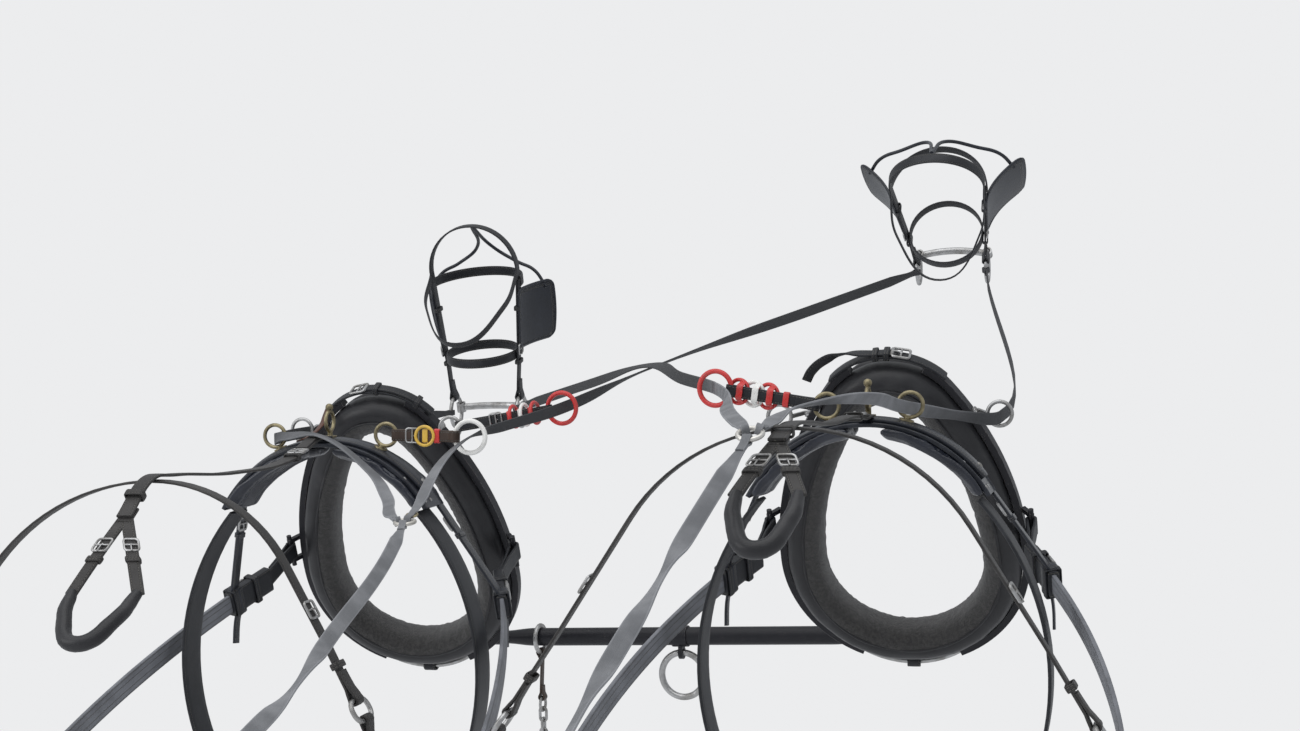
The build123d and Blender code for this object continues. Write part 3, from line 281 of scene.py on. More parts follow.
def makeFinishes():
    black, rubbed = (0.017, 0.018, 0.021), (0.085, 0.087, 0.095)
    brass, steel = (0.36, 0.31, 0.19), (0.5, 0.5, 0.5)
    return dict(
        strap=leather("strapLeather", black, rubbed, 0.46, 0.0016, True),
        # Back, hip and crupper straps: lighter and greyer than the black leather, partly real wear and partly a painted
        # reflection of the pale sky on their upper faces
        wornAndSkyLit=leather("wornSkyLitLeather", (0.034, 0.032, 0.031), (0.125, 0.12, 0.115), 0.5, 0.0016, True),
        plain=leather("plainLeather", black, rubbed, 0.5, 0.0018, False),
        pad=leather("padLeather", (0.013, 0.015, 0.023), (0.06, 0.068, 0.088), 0.3, 0.0026, False, coat=0.4),
        saddle=leather("saddleLeather", (0.012, 0.014, 0.02), (0.065, 0.07, 0.085), 0.34, 0.0024, True, 0.25, (3.5, 7.0)),
        brown=leather("brownLeather", (0.045, 0.03, 0.023), (0.13, 0.095, 0.07), 0.42, 0.0016, True),
        tan=leather("tanLeather", (0.085, 0.032, 0.02), (0.19, 0.095, 0.06), 0.5, 0.0016, True),
        collar=leather("collarLeather", (0.017, 0.017, 0.019), (0.08, 0.078, 0.08), 0.46, 0.0022, False, 0.12),
        lining=felt("collarLining", (0.012, 0.011, 0.011), (0.045, 0.042, 0.04)),
        trace=leather("traceLeather", (0.145, 0.15, 0.165), (0.24, 0.245, 0.26), 0.5, 0.0016, True, 0.0, (3.0, 13.0)),
        rein=webbing("reinWebbing", (0.185, 0.19, 0.202), (0.27, 0.275, 0.29), (0.04, 0.041, 0.044), 1.5, 0.78),
        blackSteel=metal("blackSteel", (0.4, 0.4, 0.42), (0.2, 0.17, 0.15), 0.42, (0.011, 0.011, 0.014)),
        steel=metal("brightSteel", steel, (0.26, 0.25, 0.235), 0.3),
        nickel=metal("paleNickel", (0.74, 0.72, 0.68), (0.5, 0.48, 0.44), 0.36),
        brass=metal("dullBrass", brass, (0.17, 0.145, 0.095), 0.36),
        red=plastic("redRings", (0.62, 0.04, 0.038), (0.34, 0.11, 0.1)),
        white=plastic("whiteRings", (0.9, 0.89, 0.86), (0.5, 0.48, 0.44)),
        yellow=plastic("yellowRings", (0.78, 0.5, 0.08), (0.36, 0.25, 0.12)),
    )


def makeStudio():
    floor = bmesh.new()
    bmesh.ops.create_grid(floor, x_segments=1, y_segments=1, size=studio["floorSize"] / 2)
    bmesh.ops.translate(floor, verts=floor.verts, vec=(0.5, 0, studio["floorHeight"]))
    mesh = bpy.data.meshes.new("floor")
    floor.to_mesh(mesh)
    floor.free()
    sheet = bpy.data.objects.new("floor", mesh)
    bpy.context.collection.objects.link(sheet)
    # Far from the object the floor takes the backdrop's own colour, so that no horizon shows
    paper = Paint("paper")
    away = paper.add("ShaderNodeVectorMath", dict(operation="DISTANCE"), paper.place, (0.5, -0.4, studio["floorHeight"]),
                     output="Value").within(*studio["fade"])
    seen = paper.add("ShaderNodeLightPath", output="Is Camera Ray")
    plain = paper.add("ShaderNodeEmission", None, studio["paper"], 1.0)
    mesh.materials.append(paper.finish(Base_Color=studio["paper"], Roughness=0.9))
    mixed = paper.add("ShaderNodeMixShader", None, away * seen)
    paper.tree.links.new(paper.shader.outputs[0], mixed.link.node.inputs[1])
    paper.tree.links.new(plain.link, mixed.link.node.inputs[2])
    paper.tree.links.new(mixed.link, paper.tree.nodes["Material Output"].inputs["Surface"])
    world = bpy.data.worlds.new("sky")
    world.use_nodes = True
    tree = world.node_tree
    tree.nodes.clear()
    light, shown, mixed, seen, out = (tree.nodes.new(kind) for kind in (
        "ShaderNodeBackground", "ShaderNodeBackground", "ShaderNodeMixShader", "ShaderNodeLightPath",
        "ShaderNodeOutputWorld"))
    light.inputs["Color"].default_value = (0.93, 0.96, 1.0, 1)
    light.inputs["Strength"].default_value = studio["skyStrength"]
    shown.inputs["Color"].default_value = (*studio["paper"], 1)
    tree.links.new(seen.outputs["Is Camera Ray"], mixed.inputs[0])
    tree.links.new(light.outputs[0], mixed.inputs[1])
    tree.links.new(shown.outputs[0], mixed.inputs[2])
    tree.links.new(mixed.outputs[0], out.inputs[0])
    bpy.context.scene.world = world
    softBox("topLight", studio["topPlace"], studio["topSize"], studio["topPower"])
    softBox("sideLight", studio["sidePlace"], 2.6, studio["sidePower"])
    bpy.context.scene.view_settings.view_transform = "Standard"


setCamera()
makeStudio()
finishes = makeFinishes()
print("camera, studio and finishes are set")

# Helpers for shapes

sideways = Vector((1, 0, 0))
forward = Vector((0, 1, 0))
upward = Vector((0, 0, 1))


def squareTo(way, axis):
    return (axis - way * axis.dot(way)).normalized()


def planeAt(origin, across, normal):
    # Matrix of a plane: x across, z along its normal
    across, normal = Vector(across).normalized(), Vector(normal).normalized()
    third = normal.cross(across)
    turned = Matrix((across, third, normal)).transposed().to_4x4()
    return Matrix.Translation(origin) @ turned


def band(width, thick, rounding=1.3, crown=0.0):
    # Section of a strap: across, up, and how far the point is from the nearer rim
    wide, high = width / 2, thick / 2
    quarter = []
    for step in range(3):
        turn = radians(45 * step)
        quarter.append((wide - rounding + rounding * cos(turn), high - rounding + rounding * sin(turn)))
    quarter.append((wide * 0.55, high + crown * 0.7))
    half = quarter + [(0, high + crown)] + [(-x, y) for x, y in reversed(quarter)]
    return [(x, y, wide - abs(x)) for x, y in half + [(-x, -y) for x, y in half]]


def rod(radius, sides=12):
    return [(radius * cos(2 * pi * n / sides), radius * sin(2 * pi * n / sides), 50) for n in range(sides)]


def softLine(points, steps=8):
    # Points of a soft line through the given ones, read from a Bezier curve
    curve = bpy.data.curves.new("route", "CURVE")
    curve.dimensions = "3D"
    curve.resolution_u = steps
    spline = curve.splines.new("BEZIER")
    spline.bezier_points.add(len(points) - 1)
    for knot, point in zip(spline.bezier_points, points):
        knot.co = point
        knot.handle_left_type = knot.handle_right_type = "AUTO"
    holder = bpy.data.objects.new("route", curve)
    bpy.context.collection.objects.link(holder)
    mesh = bpy.data.meshes.new_from_object(holder.evaluated_get(bpy.context.evaluated_depsgraph_get()))
    read = [vert.co.copy() for vert in mesh.vertices]
    bpy.data.objects.remove(holder)
    bpy.data.curves.remove(curve)
    bpy.data.meshes.remove(mesh)
    return read


def softFlats(flats, steps=8):
    # The way a strap's width lies at each of softLine's points
    read = []
    for first, second in zip(flats, flats[1:]):
        for step in range(steps):
            share = step / steps
            read.append(Vector(first).lerp(Vector(second), share * share * (3 - 2 * share)))
    return read + [Vector(flats[-1])]


def framesOn(points, flats, widths=None, closed=False):
    # Matrix at each point: x the way the width lies, y off the face, z along
    points = [Vector(point) for point in points]
    if isinstance(flats, (Vector, tuple)):
        flats = [flats] * len(points)
    frames = []
    last = None
    count = len(points)
    for index, point in enumerate(points):
        if closed:
            along = points[(index + 1) % count] - points[index - 1]
        else:
            along = points[min(index + 1, count - 1)] - points[max(index - 1, 0)]
        along.normalize()
        flat = squareTo(along, Vector(flats[index]))
        if last is not None and flat.dot(last) < 0:
            flat = -flat
        last = flat
        turned = Matrix((flat * (widths[index] if widths else 1), along.cross(flat), along)).transposed().to_4x4()
        frames.append(Matrix.Translation(point) @ turned)
    return frames


def foldRound(point, way, flat, wire, thick, lap):
    # A strap's end that comes along way from the strap, turns round a wire and lies back on it
    out = way.cross(flat).normalized()
    reach = wire + 0.8 + thick / 2
    rest = thick * 0.53
    side = [(lap * 0.8, rest), (lap * 0.42, rest + 0.1 * (reach - rest)), (lap * 0.22, rest + 0.55 * (reach - rest))]
    arc = [(reach * cos(radians(turn)), reach * sin(radians(turn))) for turn in range(60, 301, 24)]
    path = side + arc + [(along, -off) for along, off in reversed(side)] + [(lap, -rest)]
    return [point + way * along + out * off for along, off in path]


class Hoop:
    # A round ring: centre, the way through it, radius and wire
    def __init__(self, centre, axis, radius, wire):
        self.centre = Vector(centre)
        self.axis = Vector(axis).normalized()
        self.radius = radius
        self.wire = wire

    def rim(self, way):
        out = squareTo(self.axis, Vector(way))
        return self.centre + out * self.radius, self.axis.cross(out)


class Shape:
    # One piece in the making, in millimetres
    def __init__(self, place=(0, 0, 0)):
        self.bm = bmesh.new()
        self.along = self.bm.verts.layers.float.new("along")
        self.rim = self.bm.verts.layers.float.new("rim")
        self.place = Matrix.Translation(place)

    def sweep(self, frames, section, closed=False):
        bm = self.bm
        ring = [bm.verts.new(frames[0] @ Vector((x, y, 0))) for x, y, rim in section]
        for vert, point in zip(ring, section):
            vert[self.rim] = point[2]
        edges = [bm.edges.new((ring[n - 1], ring[n])) for n in range(len(ring))]
        first = edges
        gone = 0
        for last, here in zip(frames, frames[1:]):
            gone += (here.translation - last.translation).length
            made = bmesh.ops.extrude_edge_only(bm, edges=edges)["geom"]
            fresh = {part for part in made if isinstance(part, bmesh.types.BMVert)}
            edges = list({edge for vert in fresh for edge in vert.link_edges if edge.other_vert(vert) in fresh})
            bmesh.ops.transform(bm, matrix=here @ last.inverted(), verts=list(fresh))
            for vert in fresh:
                vert[self.along] = gone
        if closed:
            bmesh.ops.bridge_loops(bm, edges=first + edges)
        else:
            bmesh.ops.edgeloop_fill(bm, edges=first)
            bmesh.ops.edgeloop_fill(bm, edges=edges)

    def strap(self, points, flats, width, thick, widths=None, crown=0.25, rounding=1.3):
        self.sweep(framesOn(points, flats, widths), band(width, thick, min(rounding, thick * 0.38), crown))

    def tube(self, points, radius, closed=False, sides=12):
        points = [Vector(point) for point in points]
        way = (points[1] - points[0]).normalized()
        flat = upward if abs(way.z) < 0.9 else sideways
        frames = framesOn(points, flat, None, closed)
        self.sweep(frames, rod(radius, sides), closed)

    def torus(self, hoop, sides=14, count=48):
        plane = planeAt(hoop.centre, squareTo(hoop.axis, upward if abs(hoop.axis.z) < 0.9 else forward), hoop.axis)
        ring = bmesh.ops.create_circle(self.bm, segments=sides, radius=hoop.wire,
                                       matrix=plane @ Matrix.Translation((hoop.radius, 0, 0)) @ Matrix.Rotation(pi / 2, 4, "X"))
        edges = list({edge for vert in ring["verts"] for edge in vert.link_edges})
        bmesh.ops.spin(self.bm, geom=edges, cent=hoop.centre, axis=hoop.axis, angle=2 * pi, steps=count, use_merge=True)

    def loopPath(self, place, wide, high, corner, axes="xz"):
        # Rounded rectangle in a plane of the given place
        path = []
        for x, y, start in ((1, 1, 0), (-1, 1, 90), (-1, -1, 180), (1, -1, 270)):
            for step in range(5):
                turn = radians(start + 22.5 * step)
                flat = (x * (wide - corner) + corner * cos(turn), y * (high - corner) + corner * sin(turn))
                path.append(place @ (Vector((flat[0], 0, flat[1])) if axes == "xz" else Vector((*flat, 0))))
        return path

    def keeper(self, place, width, thick, length, wall=2.6):
        # Leather loop round a strap at place: x across the strap, y off its face, z along it
        path = self.loopPath(place, width / 2 + 0.4 + wall / 2, thick / 2 + 0.4 + wall / 2, wall * 0.9 + 0.8, "xy")
        frames = framesOn(path, place.to_3x3() @ Vector((0, 0, 1)), None, True)
        self.sweep(frames, band(length, wall, wall * 0.38, 0.3), True)

    def buckle(self, place, width, length, wire=2.2, roller=False):
        # Buckle frame that lies on a strap, with its bar and tongue
        path = self.loopPath(place, width / 2 + wire + 0.6, length / 2, 5)
        self.sweep(framesOn(path, place.to_3x3() @ Vector((0, 1, 0)), None, True), rod(wire, 10), True)
        ends = [place @ Vector((side * (width / 2 + wire), 0, 0)) for side in (-1, 1)]
        self.tube(ends, wire * 0.85)
        if roller:
            ends = [place @ Vector((side * width * 0.42, 0.4, length / 2)) for side in (-1, 1)]
            self.tube(ends, wire * 1.5)
        tongue = [(0, 0.6, -2), (0, 2.6, length * 0.14), (0, 2.8, length * 0.32), (0, 2.2, length / 2 + wire)]
        self.tube([place @ Vector(point) for point in tongue], wire * 0.62)

    def rivet(self, place, radius, height=None):
        # Domed head at place, y off the leather
        size = Matrix.Diagonal((radius, height or radius * 0.5, radius, 1))
        bmesh.ops.create_uvsphere(self.bm, u_segments=14, v_segments=8, radius=1, matrix=place @ size)

    def roughen(self, size, depth, seed=0.0):
        # Hand-worked unevenness: each vertex moves a little along its normal
        self.bm.normal_update()
        for vert in self.bm.verts:
            vert.co += vert.normal * (depth * noise.noise(vert.co / size + Vector((seed, seed, seed))))

    def finish(self, name, paint, slot, replaced=(), body="harness", smooth=40):
        bmesh.ops.recalc_face_normals(self.bm, faces=self.bm.faces)
        bmesh.ops.transform(self.bm, matrix=Matrix.Scale(1 / metre, 4) @ self.place, verts=self.bm.verts)
        for face in self.bm.faces:
            face.smooth = True
        mesh = bpy.data.meshes.new(name)
        self.bm.to_mesh(mesh)
        self.bm.free()
        mesh.set_sharp_from_angle(angle=radians(smooth))
        mesh.materials.append(finishes[paint])
        piece = bpy.data.objects.new(name, mesh)
        bpy.context.collection.objects.link(piece)
        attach(piece, body)
        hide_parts(*replaced)
        return piece


cloth = dict(voxel=0.0048, pressure=4.0, frames=18, start=0.0012, cap=0.005)


def swell(piece, hold):
    # Cloth simulation: the piece is gridded, drawn in a little and blown up by pressure from inside
    scene = bpy.context.scene
    piece.modifiers.new("grid", "REMESH").voxel_size = cloth["voxel"]
    mesh = bpy.data.meshes.new_from_object(piece.evaluated_get(bpy.context.evaluated_depsgraph_get()))
    piece.modifiers.clear()
    normals = [vert.normal.copy() for vert in mesh.vertices]
    for vert, normal in zip(mesh.vertices, normals):
        vert.co -= normal * cloth["start"]
    old = piece.data
    name = old.name
    piece.data = mesh
    bpy.data.meshes.remove(old)
    mesh.name = name
    blown = piece.modifiers.new("cloth", "CLOTH")
    blown.settings.use_pressure = True
    blown.settings.uniform_pressure_force = cloth["pressure"]
    blown.settings.effector_weights.gravity = 0
    blown.point_cache.frame_end = cloth["frames"]
    for step in range(1, cloth["frames"] + 1):
        scene.frame_set(step)
    read = piece.evaluated_get(bpy.context.evaluated_depsgraph_get()).to_mesh()
    moves = [there.co - here.co for there, here in zip(read.vertices, mesh.vertices)]
    piece.modifiers.clear()
    scene.frame_set(1)
    print(name, "moved by up to", round(max(move.length for move in moves) * metre, 1), "mm")
    for vert, move in zip(mesh.vertices, moves):
        vert.co += move * min(1.0, cloth["cap"] / max(move.length, 1e-9))
    for vert in mesh.vertices:
        vert.co = hold(vert.co * metre) / metre
    for face in mesh.polygons:
        face.use_smooth = True


# The two sets, in millimetres about each set's own spine

sets = dict(
    near=dict(place=(0, 0, 0), terretX=103, waist=-8, loin=-16, croup=-6, hipLeft=(375, 50, 170),
              hipRight=(250, 62, 240), forkY=-793, forkZ=-50, forkMid=14, forkHalf=57, forkDrop=-160, traceHalf=410,
              traceZ=-385, collarZ=-202, poll=(20, 780, 440), facePitch=75, flare=42, hameRing=(161, 230, 21),
              tailStart=-8, tailEnd=52, yokeRing=(30, 652, -472)),
    off=dict(place=(1070, -155, 35), terretX=65, waist=30, loin=30, croup=41, hipLeft=(285, 56, 340),
             hipRight=(285, 59, 315), forkY=-800, forkZ=35, forkMid=2, forkHalf=44, forkDrop=-34, traceHalf=440,
             traceZ=-347, collarZ=-184, poll=(0, 985, 520), facePitch=30, flare=68, hameRing=(203, 236, 8),
             tailStart=-46, tailEnd=8, yokeRing=(-30, 712, -474),
             curl=((-16, 15, 4), (-27, 30, 10), (-37, 40, 18), (-46, 43, 26), (-52, 40, 33))),
)

strapSize = dict(width=26.0, thick=5.0)
croupY = -705.0
dockY = -900.0

# Pad

padSize = dict(backRadius=215.0, backTop=-15.0, panelThick=18.0, panelStart=6.0, panelEnd=60.0, skirtWidth=96.0,
               skirtThick=6.0, skirtEnd=61.0, ridgeWidth=54.0, ridgeThick=9.0, ridgeEnd=54.0, bead=2.2)
backCentre = padSize["backTop"] - padSize["backRadius"]
skirtInner = padSize["backRadius"] + padSize["panelThick"] + 0.3
skirtOuter = skirtInner + padSize["skirtThick"]
ridgeOuter = skirtOuter + padSize["ridgeThick"]
# Section of a panel: along the spine and off the middle of its thickness, with a roll at the front
panelSection = [(66, -1), (66.5, 6), (63, 11.5), (57.5, 13.5), (52, 11.5), (49, 7.6), (44, 8.2), (24, 8.8), (0, 9.0),
                (-24, 8.8), (-48, 8.0), (-52, 6.2), (-56, 8.0), (-61, 8.8), (-65, 5.5), (-66, 0), (-64, -6),
                (-56, -9), (-30, -9.3), (0, -9.4), (30, -9.3), (56, -9), (63, -6)]


def onBack(radius, angle, y=0.0):
    return Vector((radius * sin(radians(angle)), y, radius * cos(radians(angle)) + backCentre))


def angles(start, end, count):
    return [start + (end - start) * n / (count - 1) for n in range(count)]


def makePad(name, row):
    panels = Shape(row["place"])
    middle = padSize["backRadius"] + padSize["panelThick"] / 2
    ends = [(0.0, 0.3), (0.4, 0.62), (1.2, 0.84), (2.6, 0.96)]
    for side in (-1, 1):
        turns = [padSize["panelStart"] + gap for gap, share in ends]
        shares = [share for gap, share in ends]
        inside = angles(turns[-1] + 1.5, padSize["panelEnd"] - ends[-1][0] - 1.5, 26)
        turns += inside + [padSize["panelEnd"] - gap for gap, share in reversed(ends)]
        shares += [1.0] * len(inside) + [share for gap, share in reversed(ends)]
        frames = framesOn([onBack(middle, side * turn) for turn in turns], forward)
        shaped = [place @ Matrix.Diagonal((0.93 + 0.07 * share, share, 1, 1)) for place, share in zip(frames, shares)]
        if side < 0:
            shaped = [place @ Matrix.Diagonal((1, -1, 1, 1)) for place in shaped]
        panels.sweep(shaped, [(x, y, 50) for x, y in panelSection])
    panels.roughen(26, 0.9)
    piece = panels.finish(f"{name}PadPanels", "pad", "pad_leather", [f"{name}_pad_panels"], smooth=75)
    centre = Vector(row["place"]) + Vector((0, 0, backCentre))

    def settled(point):
        # The panel lies between the back and the skirt, with a sewn channel beside each roll
        out = point - centre
        y, out = out.y, Vector((out.x, 0, out.z))
        radius = out.length
        under = skirtInner - 0.4 if abs(y) < padSize["skirtWidth"] / 2 + 0.5 else skirtInner + 10
        kept = max(padSize["backRadius"] - 0.5, min(radius, under))
        if radius > middle:
            kept -= 3.0 * max(0.0, 1 - abs(abs(y) - 52) / 3.2)
        else:
            kept += 2.2 * max(0.0, 1 - abs(abs(y) - 30) / 3.6) * (radius < middle - 5)
        return centre + out * (kept / radius) + Vector((0, y, 0))

    swell(piece, settled)
    piece.modifiers.new("rounded", "SUBSURF").levels = 1
    piece.modifiers["rounded"].render_levels = 1

    saddle = Shape(row["place"])
    skirt = [onBack((skirtInner + skirtOuter) / 2, turn) for turn in angles(-padSize["skirtEnd"], padSize["skirtEnd"], 61)]
    saddle.strap(skirt, forward, padSize["skirtWidth"], padSize["skirtThick"], crown=0.0)
    ridgeTurns = angles(-padSize["ridgeEnd"], padSize["ridgeEnd"], 55)
    widths = [min(1.0, 0.55 + 0.45 * sqrt(min(1, (padSize["ridgeEnd"] - abs(turn)) / 5))) for turn in ridgeTurns]
    ridge = [onBack(skirtOuter + padSize["ridgeThick"] / 2 - 0.6, turn) for turn in ridgeTurns]
    saddle.strap(ridge, forward, padSize["ridgeWidth"], padSize["ridgeThick"] - 1.0, widths, crown=3.4, rounding=3.2)
    for edge in (-1, 1):
        rim = [onBack(skirtOuter, turn, edge * (padSize["skirtWidth"] / 2 - 2)) for turn in angles(-61, 61, 61)]
        saddle.tube(rim, padSize["bead"], sides=8)
    line = TraceLine(row)
    for side in (-1, 1):
        start = onBack(skirtInner + padSize["skirtThick"] / 2, 60 * side, padSize["skirtWidth"] / 2 - 13)
        end = line.loopTop(side)
        saddle.strap([start, start.lerp(end, 0.1), start.lerp(end, 0.5), end], forward, strapSize["width"], 5.4)
        saddle.keeper(line.across(billetS, side), 52, 20, 24, 4.0)
        way = (end - start).normalized()
        low = line.side(line.spot(billetS, 0, -traceSize["width"] / 2 - traceSize["tugWall"] - 2.3), side)
        hang = [low, low + Vector((side * 3, -3, -22)), low + Vector((side * 4, -8, -62))]
        saddle.strap(softLine(hang, 6), forward, strapSize["width"] - 2, 4.4)
        place = planeAt(start.lerp(end, 0.22) + way.cross(forward) * (-4.5 * side), forward, way)
        hardware[name].buckle(place, 27, 30, 2.4, True)
        saddle.keeper(planeAt(start.lerp(end, 0.36), forward, way), 26, 6, 11)
        for turn, spot in ((57.5, -28), (57.5, 0), (44, -40), (44, 40)):
            place = onBack(skirtOuter + 0.2, turn * side, spot)
            out = (place - Vector((0, spot, backCentre))).normalized()
            hardware[name].rivet(planeAt(place, forward.cross(out), forward) , 4.2)
        out = onBack(1, 49 * side) - Vector((0, 0, backCentre))
        place = onBack(ridgeOuter + 1.4, 49 * side)
        hardware[name].rivet(planeAt(place, forward.cross(out), forward), 6.6, 3.6)
    saddle.finish(f"{name}PadSaddle", "saddle", "pad_leather", [f"{name}_pad_saddle"])


# Traces and tugs, in a plane that slopes down to the rear

traceSize = dict(slope=22.0, widest=-540.0, front=245.0, frontHalf=258.0, end=-1490.0, endHalf=372.0, width=40.0,
                 thick=8.0, tugWall=6.0, tugOverlap=92.0, neckWidth=34.0, linkWire=5.0)
slopeCos = cos(radians(traceSize["slope"]))
slopeSin = sin(radians(traceSize["slope"]))
billetS = traceSize["front"] - traceSize["tugOverlap"] + 12 + 4


def arcRadius(half, endHalf, run):
    return ((half - endHalf) ** 2 + run ** 2) / (2 * (half - endHalf))


class TraceLine:
    def __init__(self, row):
        self.row = row
        self.half = row["traceHalf"]
        self.plane = planeAt((0, 0, row["traceZ"]), sideways, (0, -slopeSin, slopeCos))
        self.frontRadius = arcRadius(self.half, traceSize["frontHalf"], traceSize["front"] - traceSize["widest"])
        self.rearRadius = arcRadius(self.half, traceSize["endHalf"], traceSize["widest"] - traceSize["end"])

    def spot(self, s, shift=0.0, lift=0.0):
        # Point on the right trace, s forward in the plane, shifted outward and lifted off the plane
        radius = self.frontRadius if s > traceSize["widest"] else self.rearRadius
        turn = asin((s - traceSize["widest"]) / radius)
        x = self.half - radius + (radius + shift) * cos(turn)
        return self.plane @ Vector((x, s + shift * sin(turn), lift))

    def side(self, point, side):
        return Vector((point.x * side, point.y, point.z))

    def across(self, s, side):
        # Place at s: x over the trace's width, y off its face, z forward
        way = self.side(self.spot(s + 1) - self.spot(s - 1), side).normalized()
        normal = self.plane.to_3x3() @ upward
        return planeAt(self.side(self.spot(s), side), normal, way)

    def loopTop(self, side):
        return self.side(self.spot(billetS, -4, traceSize["width"] / 2 + traceSize["tugWall"] + 2.3), side)


def stations(start, end, gap):
    count = max(2, int(abs(end - start) / gap) + 1)
    return angles(start, end, count)


def collarHameX(v):
    radius = collarSize["sideRadius"] + 0.3 + 6.5
    return collarSize["half"] - collarSize["sideRadius"] + sqrt(radius ** 2 - (v - collarSize["widest"]) ** 2)


def tugEye(row):
    rise = slopeSin / slopeCos
    lean = radians(collarSize["lean"])
    v = (row["traceZ"] + rise * collarSize["y"] - row["collarZ"]) / (cos(lean) + rise * sin(lean))
    x = collarHameX(v) + 6.5 + traceSize["linkWire"] + 0.6 + 4 + 5
    return Vector((x, (collarSize["y"] - v * sin(lean)) / slopeCos - 26, 0))


def makeTraces(name, row):
    line = TraceLine(row)
    normal = line.plane.to_3x3() @ upward
    traces, tugs = Shape(row["place"]), Shape(row["place"])
    for side in (-1, 1):
        run = [line.side(line.spot(s), side) for s in stations(traceSize["end"], traceSize["front"] - 4, 26)]
        traces.strap(run, normal, traceSize["width"], traceSize["thick"], crown=0.2, rounding=2.2)
        tail = [line.side(line.spot(s, 6.2), side) for s in stations(traceSize["end"] + 6, traceSize["end"] + 250, 30)]
        traces.strap(tail, normal, traceSize["width"] - 5, 4.0)
        for s in (-1225, -1275):
            traces.keeper(line.across(s, side) @ Matrix.Translation((0, 0, 0)), 40, 16, 14, 3)
        block = [line.side(line.spot(s), side) for s in stations(traceSize["front"] - traceSize["tugOverlap"],
                                                                  traceSize["front"] + 14, 10)]
        tugs.strap(block, normal, 52, 20, crown=0.8, rounding=4.5)
        layer = [line.side(line.spot(s, 11.2), side) for s in stations(traceSize["front"] - 66, traceSize["front"] + 10, 10)]
        tugs.strap(layer, normal, 40, 4.0)
        eye = line.plane @ tugEye(row)
        eye = line.side(eye, side)
        front = line.side(line.spot(traceSize["front"] + 12), side)
        way = (front - eye).normalized()
        fold = foldRound(eye, way, normal, traceSize["linkWire"], 5.0, (front - eye).length + 4)
        tugs.strap(fold, normal, traceSize["neckWidth"], 5.0)
        for s in (traceSize["front"] - 84, traceSize["front"] - 28):
            tugs.keeper(line.across(s, side), 52, 26, 13, 2.6)
        place = line.across(traceSize["front"] - 52, side) @ Matrix.Translation((0, 13 * side, 0))
        hardware[name].buckle(place, 42, 34, 2.8, True)
    traces.finish(f"{name}Traces", "trace", "trace_webbing", [f"{name}_traces"])
    tugs.finish(f"{name}Tugs", "strap", "black_leather", [f"{name}_tugs"])


# Back strap, hip strap and crupper

def spinePoints(row):
    over = strapSize["thick"] / 2
    top = ridgeOuter + backCentre + 0.3 + over
    croup = row["croup"] + strapSize["thick"] + 0.3 + over
    return [Vector(p) for p in ((0, -18, top), (0, -58, top), (0, -74, top - 0.6), (0, -190, row["waist"]),
                                (0, -430, row["loin"] + over), (0, croupY + 50, croup), (0, croupY - 22, croup),
                                (0, row["forkY"] - 14, row["forkZ"]))]


def makeBackStrap(name, row):
    strap = Shape(row["place"])
    run = softLine(spinePoints(row), 10)
    strap.strap(run, sideways, strapSize["width"], strapSize["thick"] - 0.4)
    # The buckled chape behind the pad lies on the strap
    chape = [point + upward * 4.6 for point in run if -150 < point.y < -58]
    strap.strap(chape, sideways, 23, 3.6)
    here = min(run, key=lambda point: abs(point.y + 170))
    way = (min(run, key=lambda point: abs(point.y + 200)) - here).normalized()
    strap.keeper(planeAt(here, sideways, way), 26, 9, 11)
    place = planeAt(here - way * 26 + upward * 5.5, sideways, way)
    hardware[name].buckle(place, 26, 28)
    croup = min(run, key=lambda point: abs(point.y + 745))
    way = (run[-1] - run[-4]).normalized()
    strap.keeper(planeAt(run[-6], sideways, way), 26, 12, 12)
    strap.finish(f"{name}BackStrap", "wornAndSkyLit", "black_leather", [f"{name}_back_strap"])


class HipSide:
    def __init__(self, row, key, side):
        self.side = side
        self.radius, turn, drop = row[key]
        self.turn = radians(turn)
        self.centre = Vector((0, croupY, row["croup"] - self.radius))
        self.way = Vector((side * cos(self.turn), 0, -sin(self.turn)))
        self.out = Vector((side * sin(self.turn), 0, cos(self.turn)))
        self.bend = self.centre + self.out * (self.radius + strapSize["thick"] / 2)
        self.end = self.bend + self.way * drop

    def arc(self, count=14):
        middle = self.radius + strapSize["thick"] / 2
        return [self.centre + Vector((self.side * sin(turn), 0, cos(turn))) * middle
                for turn in angles(0, self.turn, count)]


def makeHipStrap(name, row):
    line = TraceLine(row)
    s = croupY / slopeCos + 8
    strap = Shape(row["place"])
    sides = [HipSide(row, "hipLeft", -1), HipSide(row, "hipRight", 1)]
    halves = []
    for hip in sides:
        fold = foldRound(hip.end, -hip.way, forward, 4.0, 4.0, 52)
        halves.append(hip.arc() + [hip.bend.lerp(hip.end, share) for share in (0.2, 0.4, 0.6)] + fold)
        low = hip.end + hip.way * 34
        top = line.side(line.spot(s, 0, traceSize["width"] / 2 + 2.3), hip.side)
        way = (top - low).normalized()
        fold = foldRound(low, way, forward, 4.0, 4.0, 46)
        strap.strap([top, top.lerp(low, 0.3)] + list(reversed(fold)), forward, strapSize["width"], 4.0)
        strap.keeper(line.across(s, hip.side), 40, 8, strapSize["width"], 4.0)
        strap.keeper(planeAt(hip.end - hip.way * 62, forward, hip.way), 26, 9, 11)
        place = planeAt(hip.bend.lerp(hip.end, 0.34) + hip.out * 4.4, forward, hip.way)
        hardware[name].buckle(place, 26, 28)
    run = list(reversed(halves[0])) + halves[1][1:]
    strap.strap(run, forward, strapSize["width"], 4.0)
    strap.finish(f"{name}HipStrap", "wornAndSkyLit", "black_leather", [f"{name}_hip_strap"])


